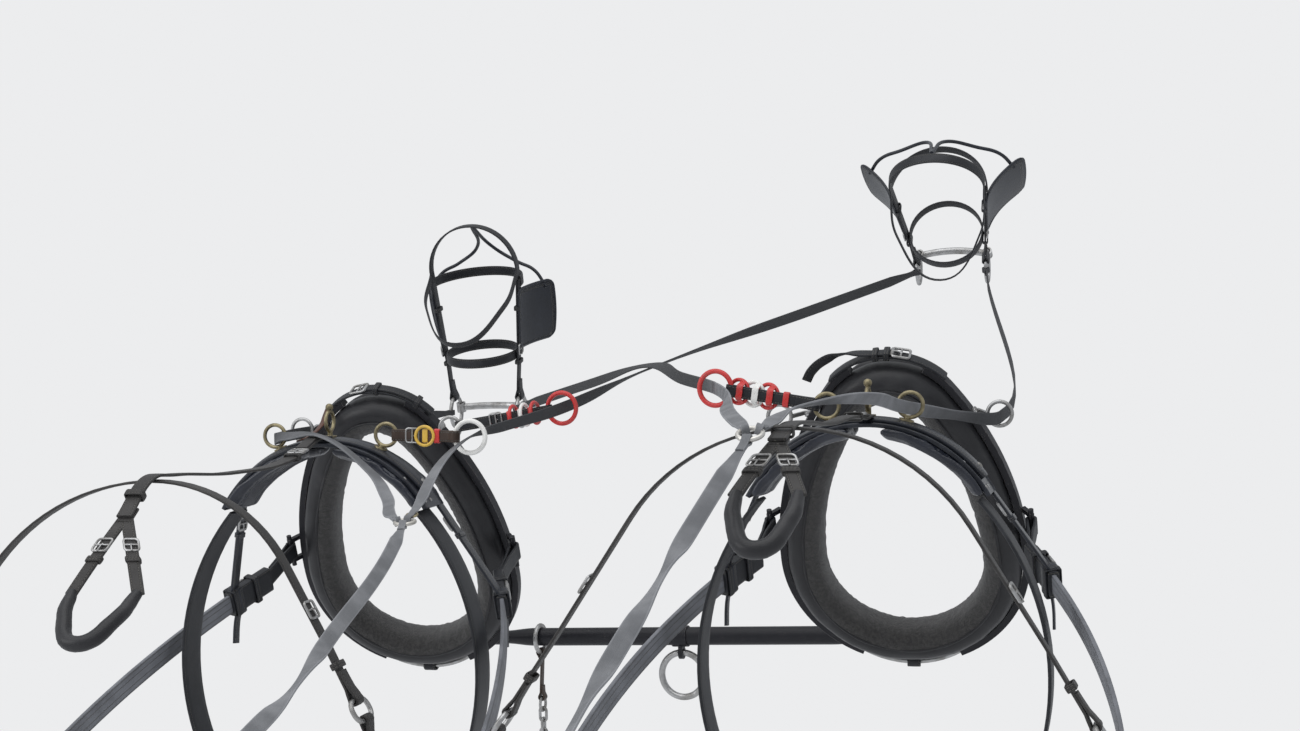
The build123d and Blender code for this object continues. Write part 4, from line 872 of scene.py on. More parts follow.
def makeCrupper(name, row):
    rear, front = spinePoints(row)[-1], spinePoints(row)[-2]
    way = (rear - front).normalized()
    split = rear - Vector((0, way.z, -way.y)) * (strapSize["thick"] + 0.9)
    crupper = Shape(row["place"])
    crupper.strap([split - way * 26, split - way * 8, split + way * 6], sideways, strapSize["width"], 4.6)
    ends = []
    for side in (-1, 1):
        end = Vector((row["forkMid"] + side * row["forkHalf"], dockY, row["forkDrop"]))
        start = split + Vector((side * 4, 0, -1))
        run = softLine([start, start.lerp(end, 0.3) + upward * 1.5, start.lerp(end, 0.7) + upward * 1.5, end], 6)
        crupper.strap(run, sideways, 20, 4.6)
        ends.append(end - (end - start).normalized() * 6)
        crupper.keeper(planeAt(start.lerp(end, 0.55) + upward * 1.6, sideways, (end - start)), 20, 6, 10)
        place = planeAt(start.lerp(end, 0.36) + squareTo((end - start).normalized(), upward) * 5, sideways, end - start)
        hardware[name].buckle(place, 20, 24, 1.9)
    crupper.finish(f"{name}CrupperFork", "wornAndSkyLit", "black_leather", [f"{name}_crupper"])
    low = Vector((row["forkMid"], dockY - 86, row["forkDrop"] - 60))
    dock = Shape(row["place"])
    half = [ends[0], ends[0].lerp(low, 0.42) + Vector((-13, -6, -3)), low, ends[1].lerp(low, 0.42) + Vector((13, -6, -3)),
            ends[1]]
    run = softLine(half, 12)
    swell = [0.62 + 0.38 * sin(pi * n / (len(run) - 1)) ** 0.6 for n in range(len(run))]
    frames = [place @ Matrix.Diagonal((share, share, 1, 1)) for place, share in zip(framesOn(run, upward), swell)]
    dock.sweep(frames, rod(12.5, 18))
    dock.roughen(14, 0.8)
    piece = dock.finish(f"{name}CrupperDock", "collar", "black_leather", smooth=70)


# Collar and hames

collarSize = dict(half=225.0, sideRadius=615.0, topAngle=36.4, widest=-100.0, lean=25.0, y=362.0, wall=37.0,
                  depth=43.0, roll=13.0)
sideReach = collarSize["sideRadius"] - collarSize["half"]
topRadius = collarSize["sideRadius"] - sideReach / cos(radians(collarSize["topAngle"]))
topV = collarSize["widest"] + sideReach * tan(radians(collarSize["topAngle"]))
# Section of the collar: outward and forward of its middle line
bodySection = [(36, 0), (34.5, 14), (29, 25), (22, 31), (15, 36), (4, 40), (-8, 41), (-18, 38), (-26, 31), (-31, 20),
               (-33, 6), (-33, -10), (-30, -24), (-22, -35), (-8, -41), (8, -42), (21, -37), (30, -28), (34.5, -14)]
liningSection = [(-4, 43), (-20, 40), (-30, 31), (-35.5, 18), (-36.8, 0), (-35.5, -18), (-29, -33), (-16, -42), (-2, -44.5),
                 (-4, -38), (-18, -34), (-28, -22), (-31, 0), (-29, 18), (-20, 32), (-6, 37)]


def collarPlane(row):
    lean = radians(collarSize["lean"])
    return planeAt((0, collarSize["y"], row["collarZ"]), sideways, (0, -cos(lean), -sin(lean)))


def eggPoints(offset, count):
    # Points round the collar's outline, from the lowest one, to the right and up
    widest, half = collarSize["widest"], collarSize["half"] + offset
    side, top = collarSize["sideRadius"] + offset, topRadius + offset
    turn = collarSize["topAngle"]
    arcs = [((0, widest), half, -90, 0), ((-sideReach, widest), side, 0, turn), ((0, topV), top, turn, 180 - turn),
            ((sideReach, widest), side, 180 - turn, 180), ((0, widest), half, 180, 270)]
    read = []
    for centre, radius, start, end in arcs:
        steps = max(6, int(count * abs(radians(end - start)) * radius / 1600))
        for n in range(steps):
            angle = radians(start + (end - start) * n / steps)
            read.append(Vector((centre[0] + radius * cos(angle), centre[1] + radius * sin(angle), 0)))
    return read


def makeCollar(name, row):
    plane = collarPlane(row)
    middle = eggPoints(-collarSize["wall"], 110)
    normals = []
    for index, point in enumerate(middle):
        way = (middle[(index + 1) % len(middle)] - middle[index - 1]).normalized()
        normals.append(plane.to_3x3() @ Vector((way.y, -way.x, 0)))
    frames = framesOn([plane @ point for point in middle], normals, None, True)
    body = Shape(row["place"])
    body.sweep(frames, [(x, y, 50) for x, y in bodySection], True)
    rim = [plane @ (point + Vector((0, 0, -collarSize["depth"] + 6))) for point in eggPoints(-collarSize["roll"] - 6, 110)]
    body.tube(rim, collarSize["roll"], True, 16)
    for across, ahead in ((-3.5, 42.5), (-1.5, -43.5)):
        body.tube([place @ Vector((across, ahead, 0)) for place in frames], 2.6, True, 8)
    body.roughen(40, 1.6)
    body.roughen(9, 0.5, 3.0)
    piece = body.finish(f"{name}Collar", "collar", "collar_leather", [f"{name}_collar"], smooth=75)
    lining = Shape(row["place"])
    lining.sweep(frames, [(x, y, 50) for x, y in liningSection], True)
    bmesh.ops.subdivide_edges(lining.bm, edges=lining.bm.edges, cuts=1, use_grid_fill=True)
    lining.roughen(7, 1.6, 1.0)
    lining.roughen(2.5, 0.7, 5.0)
    piece = lining.finish(f"{name}CollarLining", "lining", "collar_leather", smooth=75)


def makeHameStrap(name, row):
    plane = collarPlane(row)
    inner = topRadius + 0.3 + 13 + 0.3
    axis = plane.to_3x3() @ upward

    def onTop(radius, turn, back=0):
        return plane @ Vector((radius * sin(radians(turn)), topV + radius * cos(radians(turn)), back))

    strap = Shape(row["place"])
    strap.strap([onTop(inner + 2.5, turn) for turn in angles(-47, 47, 40)], axis, 26, 4.6)
    outer = 1 if name == "near" else -1
    if name == "near":
        strap.strap([onTop(inner + 7.6, turn) for turn in angles(row["tailStart"], row["tailEnd"], 26)], axis, 22, 4.2)
    else:
        # The off strap's end springs away from the collar in an arc of its own
        lying = [onTop(inner + 7.6, turn) for turn in angles(row["tailEnd"], -8, 8)]
        knots = [onTop(inner + lift, turn, back) for turn, lift, back in row["curl"]]
        twist = (axis * 0.45 + plane.to_3x3() @ Vector((-0.5, 0.75, 0))).normalized()
        flats = [axis] * (len(lying) - 1) + softFlats([axis, axis, axis.lerp(twist, 0.5), twist, twist, twist], 6)
        strap.strap(lying[:-1] + softLine([lying[-1], *knots], 6), flats, 21, 4.0)
    for turn in ((row["tailStart"] + 12, row["tailEnd"] - 14) if name == "near" else (-7, 1)):
        mid = onTop(inner + 5, turn)
        strap.keeper(planeAt(mid, axis, onTop(inner + 5, turn + 1) - onTop(inner + 5, turn - 1)), 26, 10.5, 11)
    turn = row["tailStart"] - 3 if name == "near" else row["tailEnd"] + 3
    place = planeAt(onTop(inner + 8.5, turn), axis, (onTop(inner, turn + outer) - onTop(inner, turn - outer)))
    hardware[name].buckle(place, 27, 32, 2.4, True)
    strap.finish(f"{name}HameStrap", "strap", "black_leather", [f"{name}_hame_strap"])


# Girth; the breast strap is made after the yoke chain

girthSize = dict(y=-16.0, width=72.0, thick=7.0, half=302.0, sideZ=-420.0, depth=372.0)


def makeGirth(name, row):
    half, sideZ = girthSize["half"], girthSize["sideZ"]
    start = radians(padSize["panelEnd"] + 0.28)
    radius = padSize["backRadius"] + girthSize["thick"] / 2
    topX, topZ = radius * sin(start), radius * cos(start) + backCentre
    inward, rise = half - topX, topZ - sideZ
    bend = (inward ** 2 + rise ** 2) / (2 * inward)
    last = asin(rise / bend)
    side = [Vector((half - bend + bend * cos(turn), girthSize["y"], sideZ + bend * sin(turn))) for turn in angles(0, last, 16)]
    low = [Vector((half * sin(turn), girthSize["y"], sideZ - girthSize["depth"] * cos(turn)))
           for turn in angles(-pi / 2, pi / 2, 54)]
    mirrored = [Vector((-point.x, point.y, point.z)) for point in reversed(side)]
    belt = Shape(row["place"])
    belt.strap(mirrored[:-1] + low + side[1:], forward, girthSize["width"], girthSize["thick"] - 1, crown=0.6, rounding=2.4)
    over = [point + Vector((0, 0, -4.6)) for point in low[10:-10]]
    belt.strap(over, forward, 34, 3.4)
    belt.finish(f"{name}Girth", "strap", "black_leather", [f"{name}_girth"])


# Bridle, drawn about the poll

bridleSize = dict(cheekHalf=104.0, lowHalf=80.0, crownDrop=94.0, cheekWidth=24.0, bitDrop=430.0, setBack=-15.0,
                  bitRadius=36.0, bitWire=4.5, blinkerTop=140.0, blinkerHeight=138.0, blinkerReach=92.0, corner=16.0,
                  stay=4.0, bandWidth=22.0, noseDrop=292.0, noseFront=82.0, leather=4.0)
cheekBottom = bridleSize["bitDrop"] - bridleSize["bitRadius"]
cheekTaper = (bridleSize["cheekHalf"] - bridleSize["lowHalf"]) / (cheekBottom - bridleSize["crownDrop"])


def headPlane(row):
    pitch = radians(row["facePitch"])
    return planeAt(row["poll"], sideways, (0, -cos(pitch), sin(pitch)))


def cheekX(drop):
    return bridleSize["cheekHalf"] - (drop - bridleSize["crownDrop"]) * cheekTaper


def roundCorner(point, half, tall, corner):
    # Moves a point of a rectangle's grid so that its corners are round
    x, z = point
    over = (abs(x) - half + corner) / corner
    above = (abs(z) - tall + corner) / corner
    if over <= 0 or above <= 0:
        return x, z
    shrunk = over * sqrt(1 - above * above / 2), above * sqrt(1 - over * over / 2)
    return ((half - corner + corner * shrunk[0]) * (1 if x > 0 else -1),
            (tall - corner + corner * shrunk[1]) * (1 if z > 0 else -1))


def makeBlinkers(name, row):
    size = bridleSize
    head = headPlane(row)
    shape = Shape(row["place"])
    middle = size["blinkerTop"] + size["blinkerHeight"] / 2
    tilt = atan2(size["cheekHalf"] - size["lowHalf"], cheekBottom - size["crownDrop"])
    reach, flare = size["blinkerReach"], row["flare"]
    halfLength, tall = (reach + 22) / 2, size["blinkerHeight"] / 2 - 1

    def onPlate(side, x, z, off=0.0):
        # x runs from the cheek strap forward, z up, off outward; the plate curves out towards its front
        share = max(0.0, (x + 16) / (reach + 16))
        bend = flare * (0.25 * share + 0.75 * share * share)
        cup = 5.0 * (1 - (z / tall) ** 2) * share
        root = Matrix.Translation((cheekX(middle) + 2.3, 0, -middle)) @ Matrix.Rotation(tilt, 4, "Y")
        point = root @ Vector((2.5 + bend + cup + off, x, z))
        return head @ Vector((point.x * side, point.y, point.z))

    for side in (-1, 1):
        grid = bmesh.ops.create_grid(shape.bm, x_segments=18, y_segments=18, size=1)["verts"]
        outline = []
        for vert in grid:
            x, z = roundCorner((vert.co.x * halfLength, vert.co.y * tall), halfLength, tall, 15)
            vert[shape.rim] = min(halfLength - abs(x), tall - abs(z))
            vert[shape.along] = x + z
            vert.co = onPlate(side, x + halfLength - 14, z)
        faces = list({face for vert in grid for face in vert.link_faces})
        rimEdges = [edge for edge in {edge for vert in grid for edge in vert.link_edges} if edge.is_boundary]
        loop = [rimEdges[0].verts[0], rimEdges[0].verts[1]]
        while True:
            nextEdge = [edge for edge in loop[-1].link_edges if edge.is_boundary and loop[-2] not in edge.verts]
            vert = nextEdge[0].other_vert(loop[-1])
            if vert == loop[0]:
                break
            loop.append(vert)
        outline = [vert.co.copy() for vert in loop]
        bmesh.ops.solidify(shape.bm, geom=faces, thickness=4.2)
        shape.tube(outline, 3.1, True, 8)
        top = Vector((0, size["cheekWidth"] / 2 + 0.3 + size["stay"], size["cheekHalf"] - size["crownDrop"] - size["stay"]))
        endX = cheekX(middle) + flare * 0.88
        knots = [head @ top, head @ Vector((side * endX * 0.16, 92, -64)), head @ Vector((side * endX * 0.55, 98, -101)),
                 head @ Vector((side * endX * 0.86, 92, -121)), onPlate(side, reach * 0.86, tall - 14, 3)]
        shape.tube(softLine(knots, 10), size["stay"], sides=10)
    shape.finish(f"{name}Blinkers", "saddle", "black_leather", [f"{name}_blinkers"], smooth=60)


def makeBridle(name, row):
    size = bridleSize
    head = headPlane(row)
    axis = head.to_3x3()
    strap = Shape(row["place"])
    half, drop = size["cheekHalf"], size["crownDrop"]
    crown = [head @ Vector((half * sin(radians(turn)), 0, half * cos(radians(turn)) - drop)) for turn in angles(-90, 90, 30)]
    run = []
    for side in (-1, 1):
        ring = head @ Vector((side * size["lowHalf"], size["setBack"], -cheekBottom))
        top = head @ Vector((side * half, 0, -drop))
        way = (top - ring).normalized()
        fold = foldRound(ring, way, axis @ forward, size["bitWire"], 3.6, 40)
        run.append([top.lerp(ring, share) for share in (0.2, 0.5, 0.75)] + fold)
        for share in (0.30, 0.72):
            place = planeAt(top.lerp(ring, share), axis @ forward, -way)
            strap.keeper(place, 24, 7, 10)
        out = way.cross(axis @ forward) * -side
        if out.dot(axis @ sideways) * side < 0:
            out = -out
        layer = [top.lerp(ring, share) + out * 3.9 for share in (0.08, 0.3, 0.5, 0.66)]
        strap.strap(layer, axis @ forward, 19, 3.2)
        place = planeAt(top.lerp(ring, 0.62) + out * 5.2, axis @ forward, -way)
        hardware[name].buckle(place, 24, 24, 1.9)
    strap.strap(list(reversed(run[0])) + crown + run[1], axis @ forward, size["cheekWidth"], 3.6)
    ends = [head @ Vector((side * half, -4, -drop - 8)) for side in (-1, 1)]
    low = head @ Vector((0, -170, -drop - 130))
    mids = [head @ Vector((side * 92, -92, -drop - 66)) for side in (-1, 1)]
    lash = softLine([ends[0], mids[0], low, mids[1], ends[1]], 12)
    strap.strap(lash, (low - ends[0]).cross(ends[1] - ends[0]).normalized(), 16, 3.4)
    strap.finish(f"{name}Headstall", "strap", "black_leather", [f"{name}_headstall"])

    bands = Shape(row["place"])
    browHalf = half + size["leather"] - 0.5
    brow = [head @ Vector((browHalf * cos(turn), 112 * sin(turn), -drop - 30)) for turn in angles(0, pi, 34)]
    bands.strap(brow, axis @ upward, size["bandWidth"], 3.6)
    noseHalf = cheekX(size["noseDrop"]) - size["leather"] - 1.5
    nose = [head @ Vector((noseHalf * cos(turn), size["noseFront"] * sin(turn) - 8, -size["noseDrop"]))
            for turn in angles(0, 2 * pi, 49)[:-1]]
    frames = framesOn(nose, axis @ upward, None, True)
    bands.sweep(frames, band(size["bandWidth"], 3.6, 1.2, 0.25), True)
    bands.finish(f"{name}BridleBands", "strap", "black_leather", [f"{name}_bridle_bands"])


hardware = {name: Shape(row["place"]) for name, row in sets.items()}

for name, row in sets.items():
    makePad(name, row)
    makeTraces(name, row)
    makeBackStrap(name, row)
    makeHipStrap(name, row)
    makeCrupper(name, row)
    makeCollar(name, row)
    makeHameStrap(name, row)
    makeGirth(name, row)
    makeBridle(name, row)
    makeBlinkers(name, row)
    hardware[name].finish(f"{name}Buckles", "steel", "bright_steel")
    print("made the", name, "set")

# Rings and spreaders, in pair coordinates

ringSize = dict(terret=21.5, terretWire=3.6, hame=22.0, big=30.5, bigWire=4.5, small=21.0, smallWire=3.6, split=17.0,
                splitWire=3.5)
spreaderSize = dict(width=22.0, thick=4.5)
whiteRingAt = Vector((285, 0, 17))
nearRedAt = Vector((407, 200, 59))
offRedAt = Vector((792, -120, 106))


def terretHoop(name, side):
    row = sets[name]
    turn = asin(row["terretX"] / ridgeOuter)
    radius = ridgeOuter + 0.3 + 4 + 4 + ringSize["terret"]
    place = Vector(row["place"]) + Vector((side * radius * sin(turn), 0, radius * cos(turn) + backCentre))
    return Hoop(place, forward, ringSize["terret"], ringSize["terretWire"])


def hameHoop(name, side):
    x, y, z = sets[name]["hameRing"]
    return Hoop(Vector(sets[name]["place"]) + Vector((side * x, y, z)), forward, ringSize["hame"], ringSize["terretWire"])


whiteHoop = Hoop(whiteRingAt, forward, ringSize["big"], ringSize["bigWire"])
nearRedHoop = Hoop(nearRedAt, squareTo((nearRedAt - hameHoop("near", 1).centre).normalized(), forward), 30.5, 4.5)
offRedHoop = Hoop(offRedAt, squareTo((offRedAt - terretHoop("off", -1).centre).normalized(), forward), 30.5, 4.5)
spreaderRuns = dict(
    near_pad_spreader=dict(first=terretHoop("near", 1), last=whiteHoop, rings=(), keeper=0.74, buckle=0.24, paint="brown",
                           slot="brown_leather"),
    near_hame_spreader=dict(first=hameHoop("near", 1), last=nearRedHoop, rings=(0.633, 0.769, 0.898), buckle=0.41,
                            paint="strap", slot="black_leather"),
    off_pad_spreader=dict(first=terretHoop("off", -1), last=offRedHoop, rings=(0.531, 0.733, 0.94), keeper=0.31,
                          paint="strap", slot="black_leather"),
)


# A small ring lies behind its strap, turned from the strap's way; the bar that holds it passes in front
barRing = dict(turn=75.0, shift=8.5, back=10.9, front=3.4, frontOnLap=5.6, lap=0.85, barWidth=12.0, barThick=2.4)


def addBarRing(shape, spot, way, off, front):
    size = barRing
    turn = radians(size["turn"])
    behind = spot - off * size["back"]
    axis = off * sin(turn) + way * cos(turn)
    leaning = way * sin(turn) - off * cos(turn)
    shape.torus(Hoop(behind + leaning * size["shift"], axis, ringSize["small"], ringSize["smallWire"]))
    rise = way.cross(off).normalized()
    high = sqrt(ringSize["small"] ** 2 - size["shift"] ** 2)
    half = [(high, -size["back"]), (high - 2.7, -size["back"] + 4.7), (14.0, 0.4), (11.6, front)]
    path = half + [(0, front + 0.3)] + [(-up, out) for up, out in reversed(half)]
    shape.strap(softLine([spot + rise * up + off * out for up, out in path], 4), way, size["barWidth"], size["barThick"])


def makeSpreaders():
    reds, whites, yellows, loops = Shape(), Shape(), Shape(), Shape()
    steel = Shape()
    for node, run in spreaderRuns.items():
        way = (run["last"].centre - run["first"].centre).normalized()
        start, startFlat = run["first"].rim(way)
        end, endFlat = run["last"].rim(-way)
        if startFlat.dot(endFlat) < 0:
            endFlat = -endFlat
        bendStart, bendEnd = 1.6, 1.2
        # The strap's fold clears the ring's own curve over its width
        fold = foldRound(start, way, startFlat, run["first"].wire + bendStart, 3.4, 34)
        back = foldRound(end, -way, endFlat, run["last"].wire + bendEnd, 3.4, 30)
        middle = [start.lerp(end, share) for share in (0.3, 0.4, 0.5, 0.6, 0.7)]
        points = list(reversed(fold)) + middle + back
        flats = [startFlat] * (len(fold) + 3) + [endFlat] * (len(back) + 2)
        strap = Shape()
        strap.strap(points, flats, spreaderSize["width"], 3.6)
        strap.finish("".join([word.capitalize() if n else word for n, word in enumerate(node.split("_"))]), run["paint"],
                     run["slot"], [node])
        reachStart = 3.6 + 6.0
        begin, stop = start + way * reachStart, end - way * (4.5 + 5.0)
        off = startFlat.cross(way)
        off = off if off.y < 0 else -off
        for index, share in enumerate(run["rings"]):
            colour = whites if index == 1 else reds
            if node == "off_pad_spreader":
                addBarRing(colour, begin.lerp(stop, share), way, off,
                           barRing["frontOnLap" if share > barRing["lap"] else "front"])
                continue
            colour.torus(Hoop(begin.lerp(stop, share), way, ringSize["small"], ringSize["smallWire"]))
            colour.keeper(planeAt(begin.lerp(stop, share - 0.055), startFlat, way), 22, 3.6, 9, 1.5)
        if "keeper" in run:
            reds.keeper(planeAt(begin.lerp(stop, run["keeper"]), startFlat, way), 22, 4.4, 11, 2.2)
        if "buckle" in run:
            steel.buckle(planeAt(begin.lerp(stop, run["buckle"]) + off * 3.6, startFlat, way), 22, 26, 1.9)
        if node == "near_pad_spreader":
            yellows.torus(Hoop(begin.lerp(stop, 0.5) + off * 5.6, off, 18, 3))
            yellows.keeper(planeAt(begin.lerp(stop, 0.5), startFlat, way), 22, 3.8, 11, 1.8)
            loops.keeper(planeAt(begin.lerp(stop, 0.62), startFlat, way), 22, 6, 9, 2.4)
    reds.finish("redSmallRings", "red", "red_rings", ["small_rings"])
    whites.finish("whiteSmallRings", "white", "white_rings")
    yellows.finish("yellowRing", "yellow", "yellow_rings")
    loops.finish("spreaderKeepers", "tan", "brown_leather")
    steel.finish("spreaderBuckle", "steel", "bright_steel")


# Reins, in pair coordinates

reinSize = dict(width=23.0, thick=3.2, tip=12.0)
nearSplit, offSplit = Vector((300, -385, -104)), Vector((1040, -1000, 80))
nearHand, offHand = Vector((645, -2300, -364)), Vector((949, -2300, -476))
handRing = Vector((795, -2420, -470))


def bitHoop(name, side):
    local = Vector((side * bridleSize["lowHalf"], bridleSize["setBack"], -bridleSize["bitDrop"]))
    centre = headPlane(sets[name]) @ local + Vector(sets[name]["place"])
    return Hoop(centre, sideways, bridleSize["bitRadius"], bridleSize["bitWire"])


def splitHoop(split, hand):
    way = (split - hand).normalized()
    return Hoop(split, way.cross(squareTo(way, sideways)), ringSize["split"], ringSize["splitWire"])


def held(hoop, way):
    point, tangent = hoop.rim(way)
    return point, tangent, hoop.wire


def restingIn(hoop):
    hole = hoop.radius - hoop.wire - 0.3
    return hoop.centre - upward * (sqrt(hole ** 2 - 1.8 ** 2) - reinSize["width"] / 2)


def makeLeg(shape, places, flats, start, end):
    # A rein through places; each end is drawn in and turns round the wire given as point, tangent and wire
    points = [Vector(place) for place in places]
    lies = [Vector(flat) for flat in flats]
    folds = []
    for index, inward, hold in ((0, 1, start), (-1, -2, end)):
        point, tangent, wire = hold
        way = (points[inward] - point).normalized()
        folds.append(foldRound(point, way, tangent, wire + 0.6, 2.6, 34))
        points[index] = point + way * 44
        lies[index] = tangent
    for index in range(1, len(lies)):
        if lies[index].dot(lies[index - 1]) < 0:
            lies[index] = -lies[index]
    run = softLine(points, 12)
    turned = softFlats(lies, 12)
    full = [list(reversed(folds[0])), run[1:-1], folds[1]]
    flatList = [lies[0]] * len(folds[0]) + turned[1:-1] + [lies[-1]] * len(folds[1])
    every = [point for part in full for point in part]
    share = reinSize["tip"] / reinSize["width"]
    widths = []
    firstPoint, lastPoint = every[len(folds[0]) - 1], every[-len(folds[1])]
    for index, point in enumerate(every):
        if index < len(folds[0]) or index >= len(every) - len(folds[1]):
            widths.append(share)
            continue
        away = min((point - firstPoint).length, (point - lastPoint).length)
        widths.append(share + (1 - share) * min(1.0, away / 70))
    shape.strap(every, flatList, reinSize["width"], reinSize["thick"], widths)


def spread(start, end, share, lift=0.0, shift=0.0):
    return Vector(start).lerp(Vector(end), share) + upward * lift + sideways * shift


def mainLine(hand, split, sags):
    # A main rein's knots: share of the way to the split ring, lift and shift
    return [spread(hand, split, share, lift, shift) for share, lift, shift in sags]


def makeReins():
    level, upright = (1, 0, 0), (0, 0, 1)
    nearSplitHoop, offSplitHoop = splitHoop(nearSplit, nearHand), splitHoop(offSplit, offHand)
    handHoop = Hoop(handRing, upward, ringSize["split"], ringSize["splitWire"])

    def bitHold(name, side, toward):
        hoop = bitHoop(name, side)
        return held(hoop, Vector(toward) - hoop.centre)

    offLeft = bitHold("off", -1, nearRedAt)
    offRight = bitHold("off", 1, hameHoop("off", 1).centre)
    nearLeft = bitHold("near", -1, hameHoop("near", -1).centre)
    crossing = spread(nearRedAt, offLeft[0], 0.21, 12.0)
    nearRight = bitHold("near", 1, crossing)
    near = Shape()
    face, edge = (0.73, 0.22, -0.65), (0.82, 0.07, 0.57)
    sags = ((0.35, -2, 3), (0.47, -9, 12), (0.57, -14, 18), (0.68, -12, 15), (0.85, -11, 14), (0.93, -6, 8))
    makeLeg(near, [handRing, nearHand, *mainLine(nearHand, nearSplit, sags), nearSplit],
            [level, level, level, face, edge, face, face, face, level],
            held(handHoop, nearHand - handRing), held(nearSplitHoop, nearHand - nearSplit))
    inner = held(nearSplitHoop, whiteRingAt - nearSplit)
    makeLeg(near, [inner[0], spread(nearSplit, whiteRingAt, 0.2), whiteRingAt, spread(whiteRingAt, nearRedAt, 0.4),
                   nearRedAt, crossing, spread(crossing, offLeft[0], 0.6), offLeft[0]],
            [level, level, (1, 0, 0.5), (0.5, 0, 1), upright, (0.85, -0.45, 0.35), upright, upright], inner, offLeft)
    makeLeg(near, [nearSplit, (238, -300, -98), (178, -165, -78), (118, -96, -38), (20, -84, 26), (-62, -60, 26),
                   restingIn(terretHoop("near", -1)), restingIn(hameHoop("near", -1)), nearLeft[0]],
            [level, (0.5, 0.6, 0.3), (0.35, 0.8, 0.3), (0, 1, 0.2), (0, 1, 0), (0.2, 0.8, 0.6), upright, upright, upright],
            held(nearSplitHoop, Vector((-0.9, 0.3, 0.3))), nearLeft)
    near.finish("nearRein", "rein", "rein_webbing", ["near_rein"])
    way = (whiteRingAt - nearSplit).normalized()
    slide = Shape()
    slide.buckle(planeAt(inner[0] + way * 21, inner[1], way), 14, 15, 1.8)
    slide.finish("reinSlide", "brass", "dull_brass")
    off = Shape()
    face, edge = (0.857, 0.151, -0.493), (0.74, -0.3, 0.58)
    sags = ((0.3, 0, -22), (0.53, 0, -23), (0.63, 0, -20), (0.735, 0, -15), (0.82, 0, -11), (0.91, 0, -6))
    makeLeg(off, [handRing, offHand, *mainLine(offHand, offSplit, sags), offSplit],
            [level, level, level, edge, face, edge, face, face, level],
            held(handHoop, offHand - handRing), held(offSplitHoop, offHand - offSplit))
    over = crossing + upward * 8.5
    makeLeg(off, [offSplit, (945, -700, 92), offRedAt, spread(offRedAt, over, 0.45, -2), over,
                  spread(over, nearRight[0], 0.4, 1), nearRight[0]],
            [level, (0.8, 0.5, 0.3), upright, (0.1, 0.15, 1), (0.72, 0.6, 0.35), (0.1, 0.5, 1), upright],
            held(offSplitHoop, Vector((-0.5, 0.8, 0))), nearRight)
    terret, hame = restingIn(terretHoop("off", 1)), restingIn(hameHoop("off", 1))
    makeLeg(off, [offSplit, (1048, -700, 100), (1110, -380, 96), terret, spread(terret, hame, 0.5, -4), hame,
                  offRight[0]],
            [level, (0.8, -0.5, 0.3), (0.35, -0.25, 0.6), upright, (0.7, -0.2, 0.6), upright, upright],
            held(offSplitHoop, Vector((0.6, 0.8, 0))), offRight)
    off.finish("offRein", "rein", "rein_webbing", ["off_rein"])


# Yoke chain, which hangs from the slip ring on the bar

def makeCollarLink():
    # Narrow strap that ties the top of the near collar to the pad
    low = onBack(ridgeOuter + 2.0, -15, 16)
    run = softLine([low - Vector((0, 16, -2)), low + Vector((-3, 14, 3)), (-84, 150, 34), (-100, 214, 55), (-103, 238, 70)], 8)
    link = Shape(sets["near"]["place"])
    link.strap(run, (0.9, 0.15, 0.35), 13, 3.2)
    link.finish("nearCollarLink", "tan", "brown_leather")


chainSize = dict(ringX=208.0, slip=29.0, slipWire=5.0, strap=100.0, width=18.0, ring=15.0, wire=3.2, half=15.0, links=3)


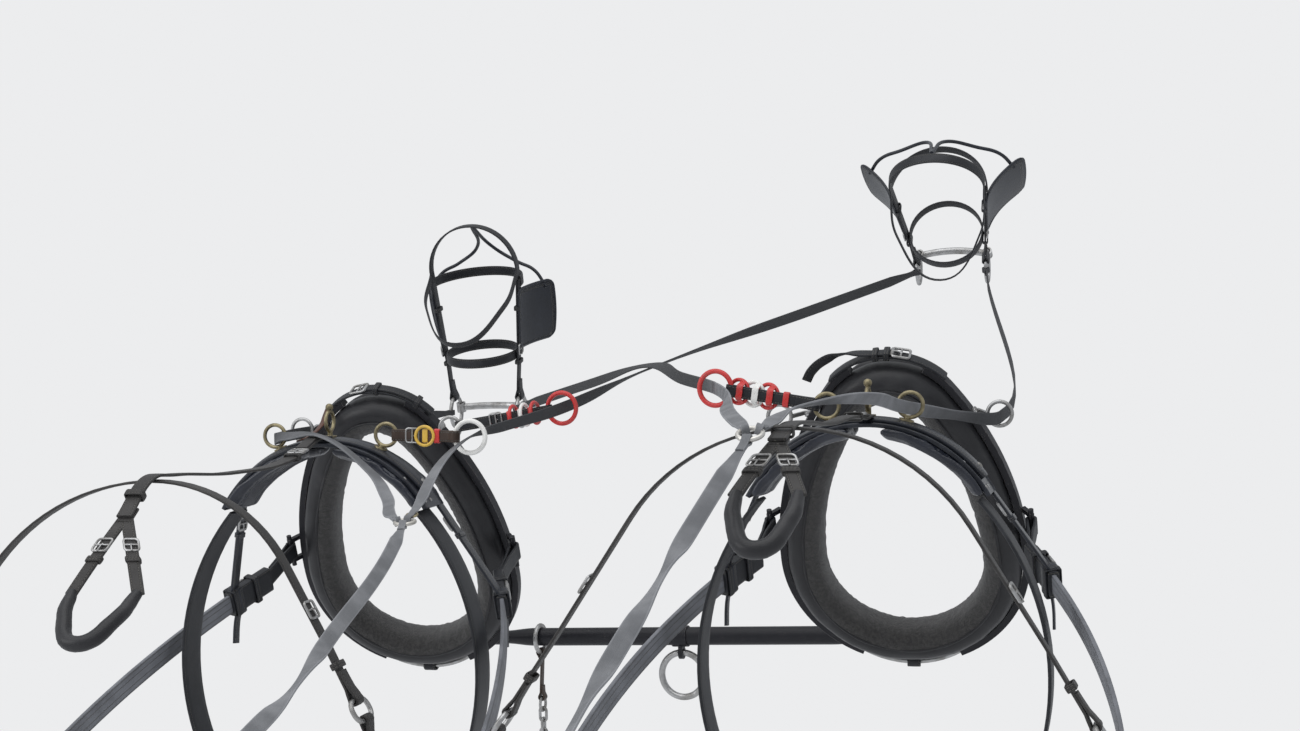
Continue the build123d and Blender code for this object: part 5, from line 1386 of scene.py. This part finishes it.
def makeYokeChain():
    size = chainSize
    start = Vector((54, 652, -472))
    way = (Vector((1016, 557, -439)) - start).normalized()
    down = (way * way.z - upward).normalized()
    centre = start + way * ((size["ringX"] - start.x) / way.x) + down * (size["slip"] - size["slipWire"] - 19.5 - 0.3)
    metalParts, strap = Shape(), Shape()
    slip = Hoop(centre, way, size["slip"], size["slipWire"])
    metalParts.torus(slip)
    low, flat = slip.rim(down)
    top = low - upward * size["strap"]
    across = squareTo(upward, flat)
    ringCentre = top - upward * size["ring"]
    metalParts.torus(Hoop(ringCentre, across.cross(upward), size["ring"], size["wire"]), 10, 36)
    upper = foldRound(low, -upward, flat, size["slipWire"] + 0.8, 3.2, 30)
    lower = foldRound(top, upward, across, size["wire"] + 1.0, 3.2, 26)
    strap.strap(list(reversed(upper)) + lower, flat, size["width"], 3.2)
    bar = ringCentre - upward * (size["ring"] - 2 * size["wire"] - 0.3)
    ways = (across.cross(upward), across)
    for index in range(size["links"]):
        place = planeAt(bar - upward * size["half"], ways[index % 2], ways[index % 2].cross(upward))
        path = metalParts.loopPath(place, 7.5, size["half"], 7.2, "xy")
        metalParts.sweep(framesOn(path, place.to_3x3() @ upward, None, True), rod(size["wire"], 10), True)
        bar = bar - upward * (2 * size["half"] - 2 * size["wire"] - 0.3)
    metalParts.finish("yokeChain", "steel", "bright_steel", ["yoke_chain"], "yoke_chain_body")
    strap.finish("yokeChainStrap", "brown", "brown_leather", body="yoke_chain_body")


def makeBreastStrap(name, row):
    plane = collarPlane(row)
    radius = collarSize["half"] + 0.3 + 6.5
    link = plane @ Vector((0, collarSize["widest"] - radius - 8, 0))
    tip = Vector(row["yokeRing"]) - Vector((0, 24, 0))
    way = (tip - link).normalized()
    rear = foldRound(link, way, sideways, 6.0, 4.0, 40)
    front = foldRound(tip, -way, sideways, 7.6, 4.0, 40)
    strap = Shape(row["place"])
    middle = [link.lerp(tip, share) for share in (0.4, 0.5, 0.6)]
    strap.strap(list(reversed(rear)) + middle + front, sideways, strapSize["width"], 4.0)
    strap.keeper(planeAt(link.lerp(tip, 0.38), sideways, way), 26, 9, 11)
    strap.finish(f"{name}BreastStrap", "strap", "black_leather", [f"{name}_breast_strap"])


makeSpreaders()
makeReins()
makeYokeChain()
makeCollarLink()
for name, row in sets.items():
    makeBreastStrap(name, row)
print("made the spreaders and reins")

# Finishes of the parts that keep their own shape

nodeFinishes = dict(pad_terrets="brass", strap_loops="steel", hames="blackSteel", hame_rings="steel", trace_eyes="steel",
                    bit="steel", bit_ring_left="steel", bit_ring_right="steel", yoke_bar="blackSteel",
                    yoke_fittings="blackSteel", yoke_ring="steel", yoke_tip_rings="steel", white_ring="white",
                    near_red_ring="red", off_red_ring="red", rein_rings="nickel")

for node, piece in nodes.items():
    if piece.hide_render:
        continue
    key = node if node in nodeFinishes else node.split("_", 1)[1]
    piece.data.materials.clear()
    piece.data.materials.append(finishes[nodeFinishes.get(key, "plain")])
    if key not in nodeFinishes:
        print("no finish is named for", node)
